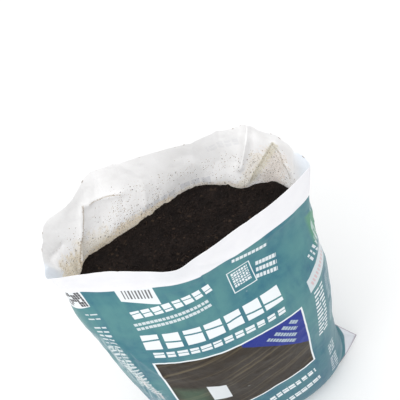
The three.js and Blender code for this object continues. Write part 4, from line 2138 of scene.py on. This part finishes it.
@dataclass
class Studio:
    """Camera, floor and soft light."""

    azimuth: float = -3.0
    elevation: float = 54.0
    roll: float = 21.0
    distance_m: float = 1.36
    lens: float = 97.92
    target_m: tuple[float, float, float] = (0.027, -0.007, 0.54)
    sky: float = 0.93
    sensor: float = 36.0
    floor_half_m: float = 4.0
    floor_colour: Colour = srgb(250, 250, 250)
    floor_roughness: float = 0.9
    floor_shine: float = 0.1
    floor_glow: float = 0.07
    lights: tuple[SoftLight, ...] = (
        SoftLight("key", (-0.5, -0.9, 2.6), 1.8, 16.0),
        SoftLight("side", (-1.7, -1.3, 1.3), 1.2, 5.0),
    )

    def place_camera(self) -> None:
        """Place the camera at its angle, distance and roll."""
        a, e, r = (math.radians(v) for v in (self.azimuth, self.elevation, self.roll))
        back = Vector((math.sin(a) * math.cos(e), -math.cos(a) * math.cos(e), math.sin(e)))
        level = Vector((math.cos(a), math.sin(a), 0.0))
        upright = level.cross(-back)
        right = math.cos(r) * level - math.sin(r) * upright
        up = math.sin(r) * level + math.cos(r) * upright
        data = bpy.data.cameras.new("camera")
        data.lens, data.sensor_width = self.lens, self.sensor
        data.clip_start, data.clip_end = 0.05, 50.0
        camera = bpy.data.objects.new("camera", data)
        turn = Matrix((right, up, back)).transposed().to_4x4()
        place = Vector(self.target_m) + back * self.distance_m
        camera.matrix_world = Matrix.Translation(place) @ turn
        bpy.context.scene.collection.objects.link(camera)
        bpy.context.scene.camera = camera

    def lay_floor(self) -> None:
        """Lay a plain pale floor."""
        size = self.floor_half_m
        mesh = bpy.data.meshes.new("floor")
        corners = [(-size, -size, 0), (size, -size, 0), (size, size, 0), (-size, size, 0)]
        mesh.from_pydata(corners, [], [(0, 1, 2, 3)])
        finish = bpy.data.materials.new("pale_floor")
        finish.use_nodes = True
        shader = finish.node_tree.nodes["Principled BSDF"]
        for socket, value in {
            "Base Color": self.floor_colour,
            "Roughness": self.floor_roughness,
            "Specular IOR Level": self.floor_shine,
            "Emission Color": self.floor_colour,
            "Emission Strength": self.floor_glow,
        }.items():
            shader.inputs[socket].default_value = value
        mesh.materials.append(finish)
        floor = bpy.data.objects.new("floor", mesh)
        bpy.context.scene.collection.objects.link(floor)

    def build(self) -> None:
        """Set up the whole studio."""
        self.place_camera()
        self.lay_floor()
        world = bpy.data.worlds.new("studio")
        world.use_nodes = True
        sky = world.node_tree.nodes["Background"].inputs
        sky["Color"].default_value = (1.0, 1.0, 1.0, 1.0)
        sky["Strength"].default_value = self.sky
        bpy.context.scene.world = world
        for light in self.lights:
            light.hang()
        bpy.context.scene.view_settings.view_transform = "Standard"


def main() -> None:
    """Build the studio, the film and the soil, and report each piece."""
    logging.basicConfig(level=logging.INFO, format="%(name)s: %(message)s")
    Studio().build()
    groups = FilmGroups()
    sack = FilmSack(FilmSurface())
    pieces = [sack.dress(groups)]
    seal_film = SealFilm().build(groups)
    corners = (
        CornerSeal("corner_seal_right", (164, 8, 90), (195, -3, 27), (157, -28, 5)),
        CornerSeal("corner_seal_left", (-138, 8, 90), (-169, -3, 27), (-131, -28, 5)),
    )
    pieces += [corner.dress(seal_film) for corner in corners]
    pieces += SoilFill(sack).dress(groups)
    for piece in pieces:
        LOG.info("%s has %d faces", piece.name, len(piece.data.polygons))


if __name__ == "__main__":
    main()
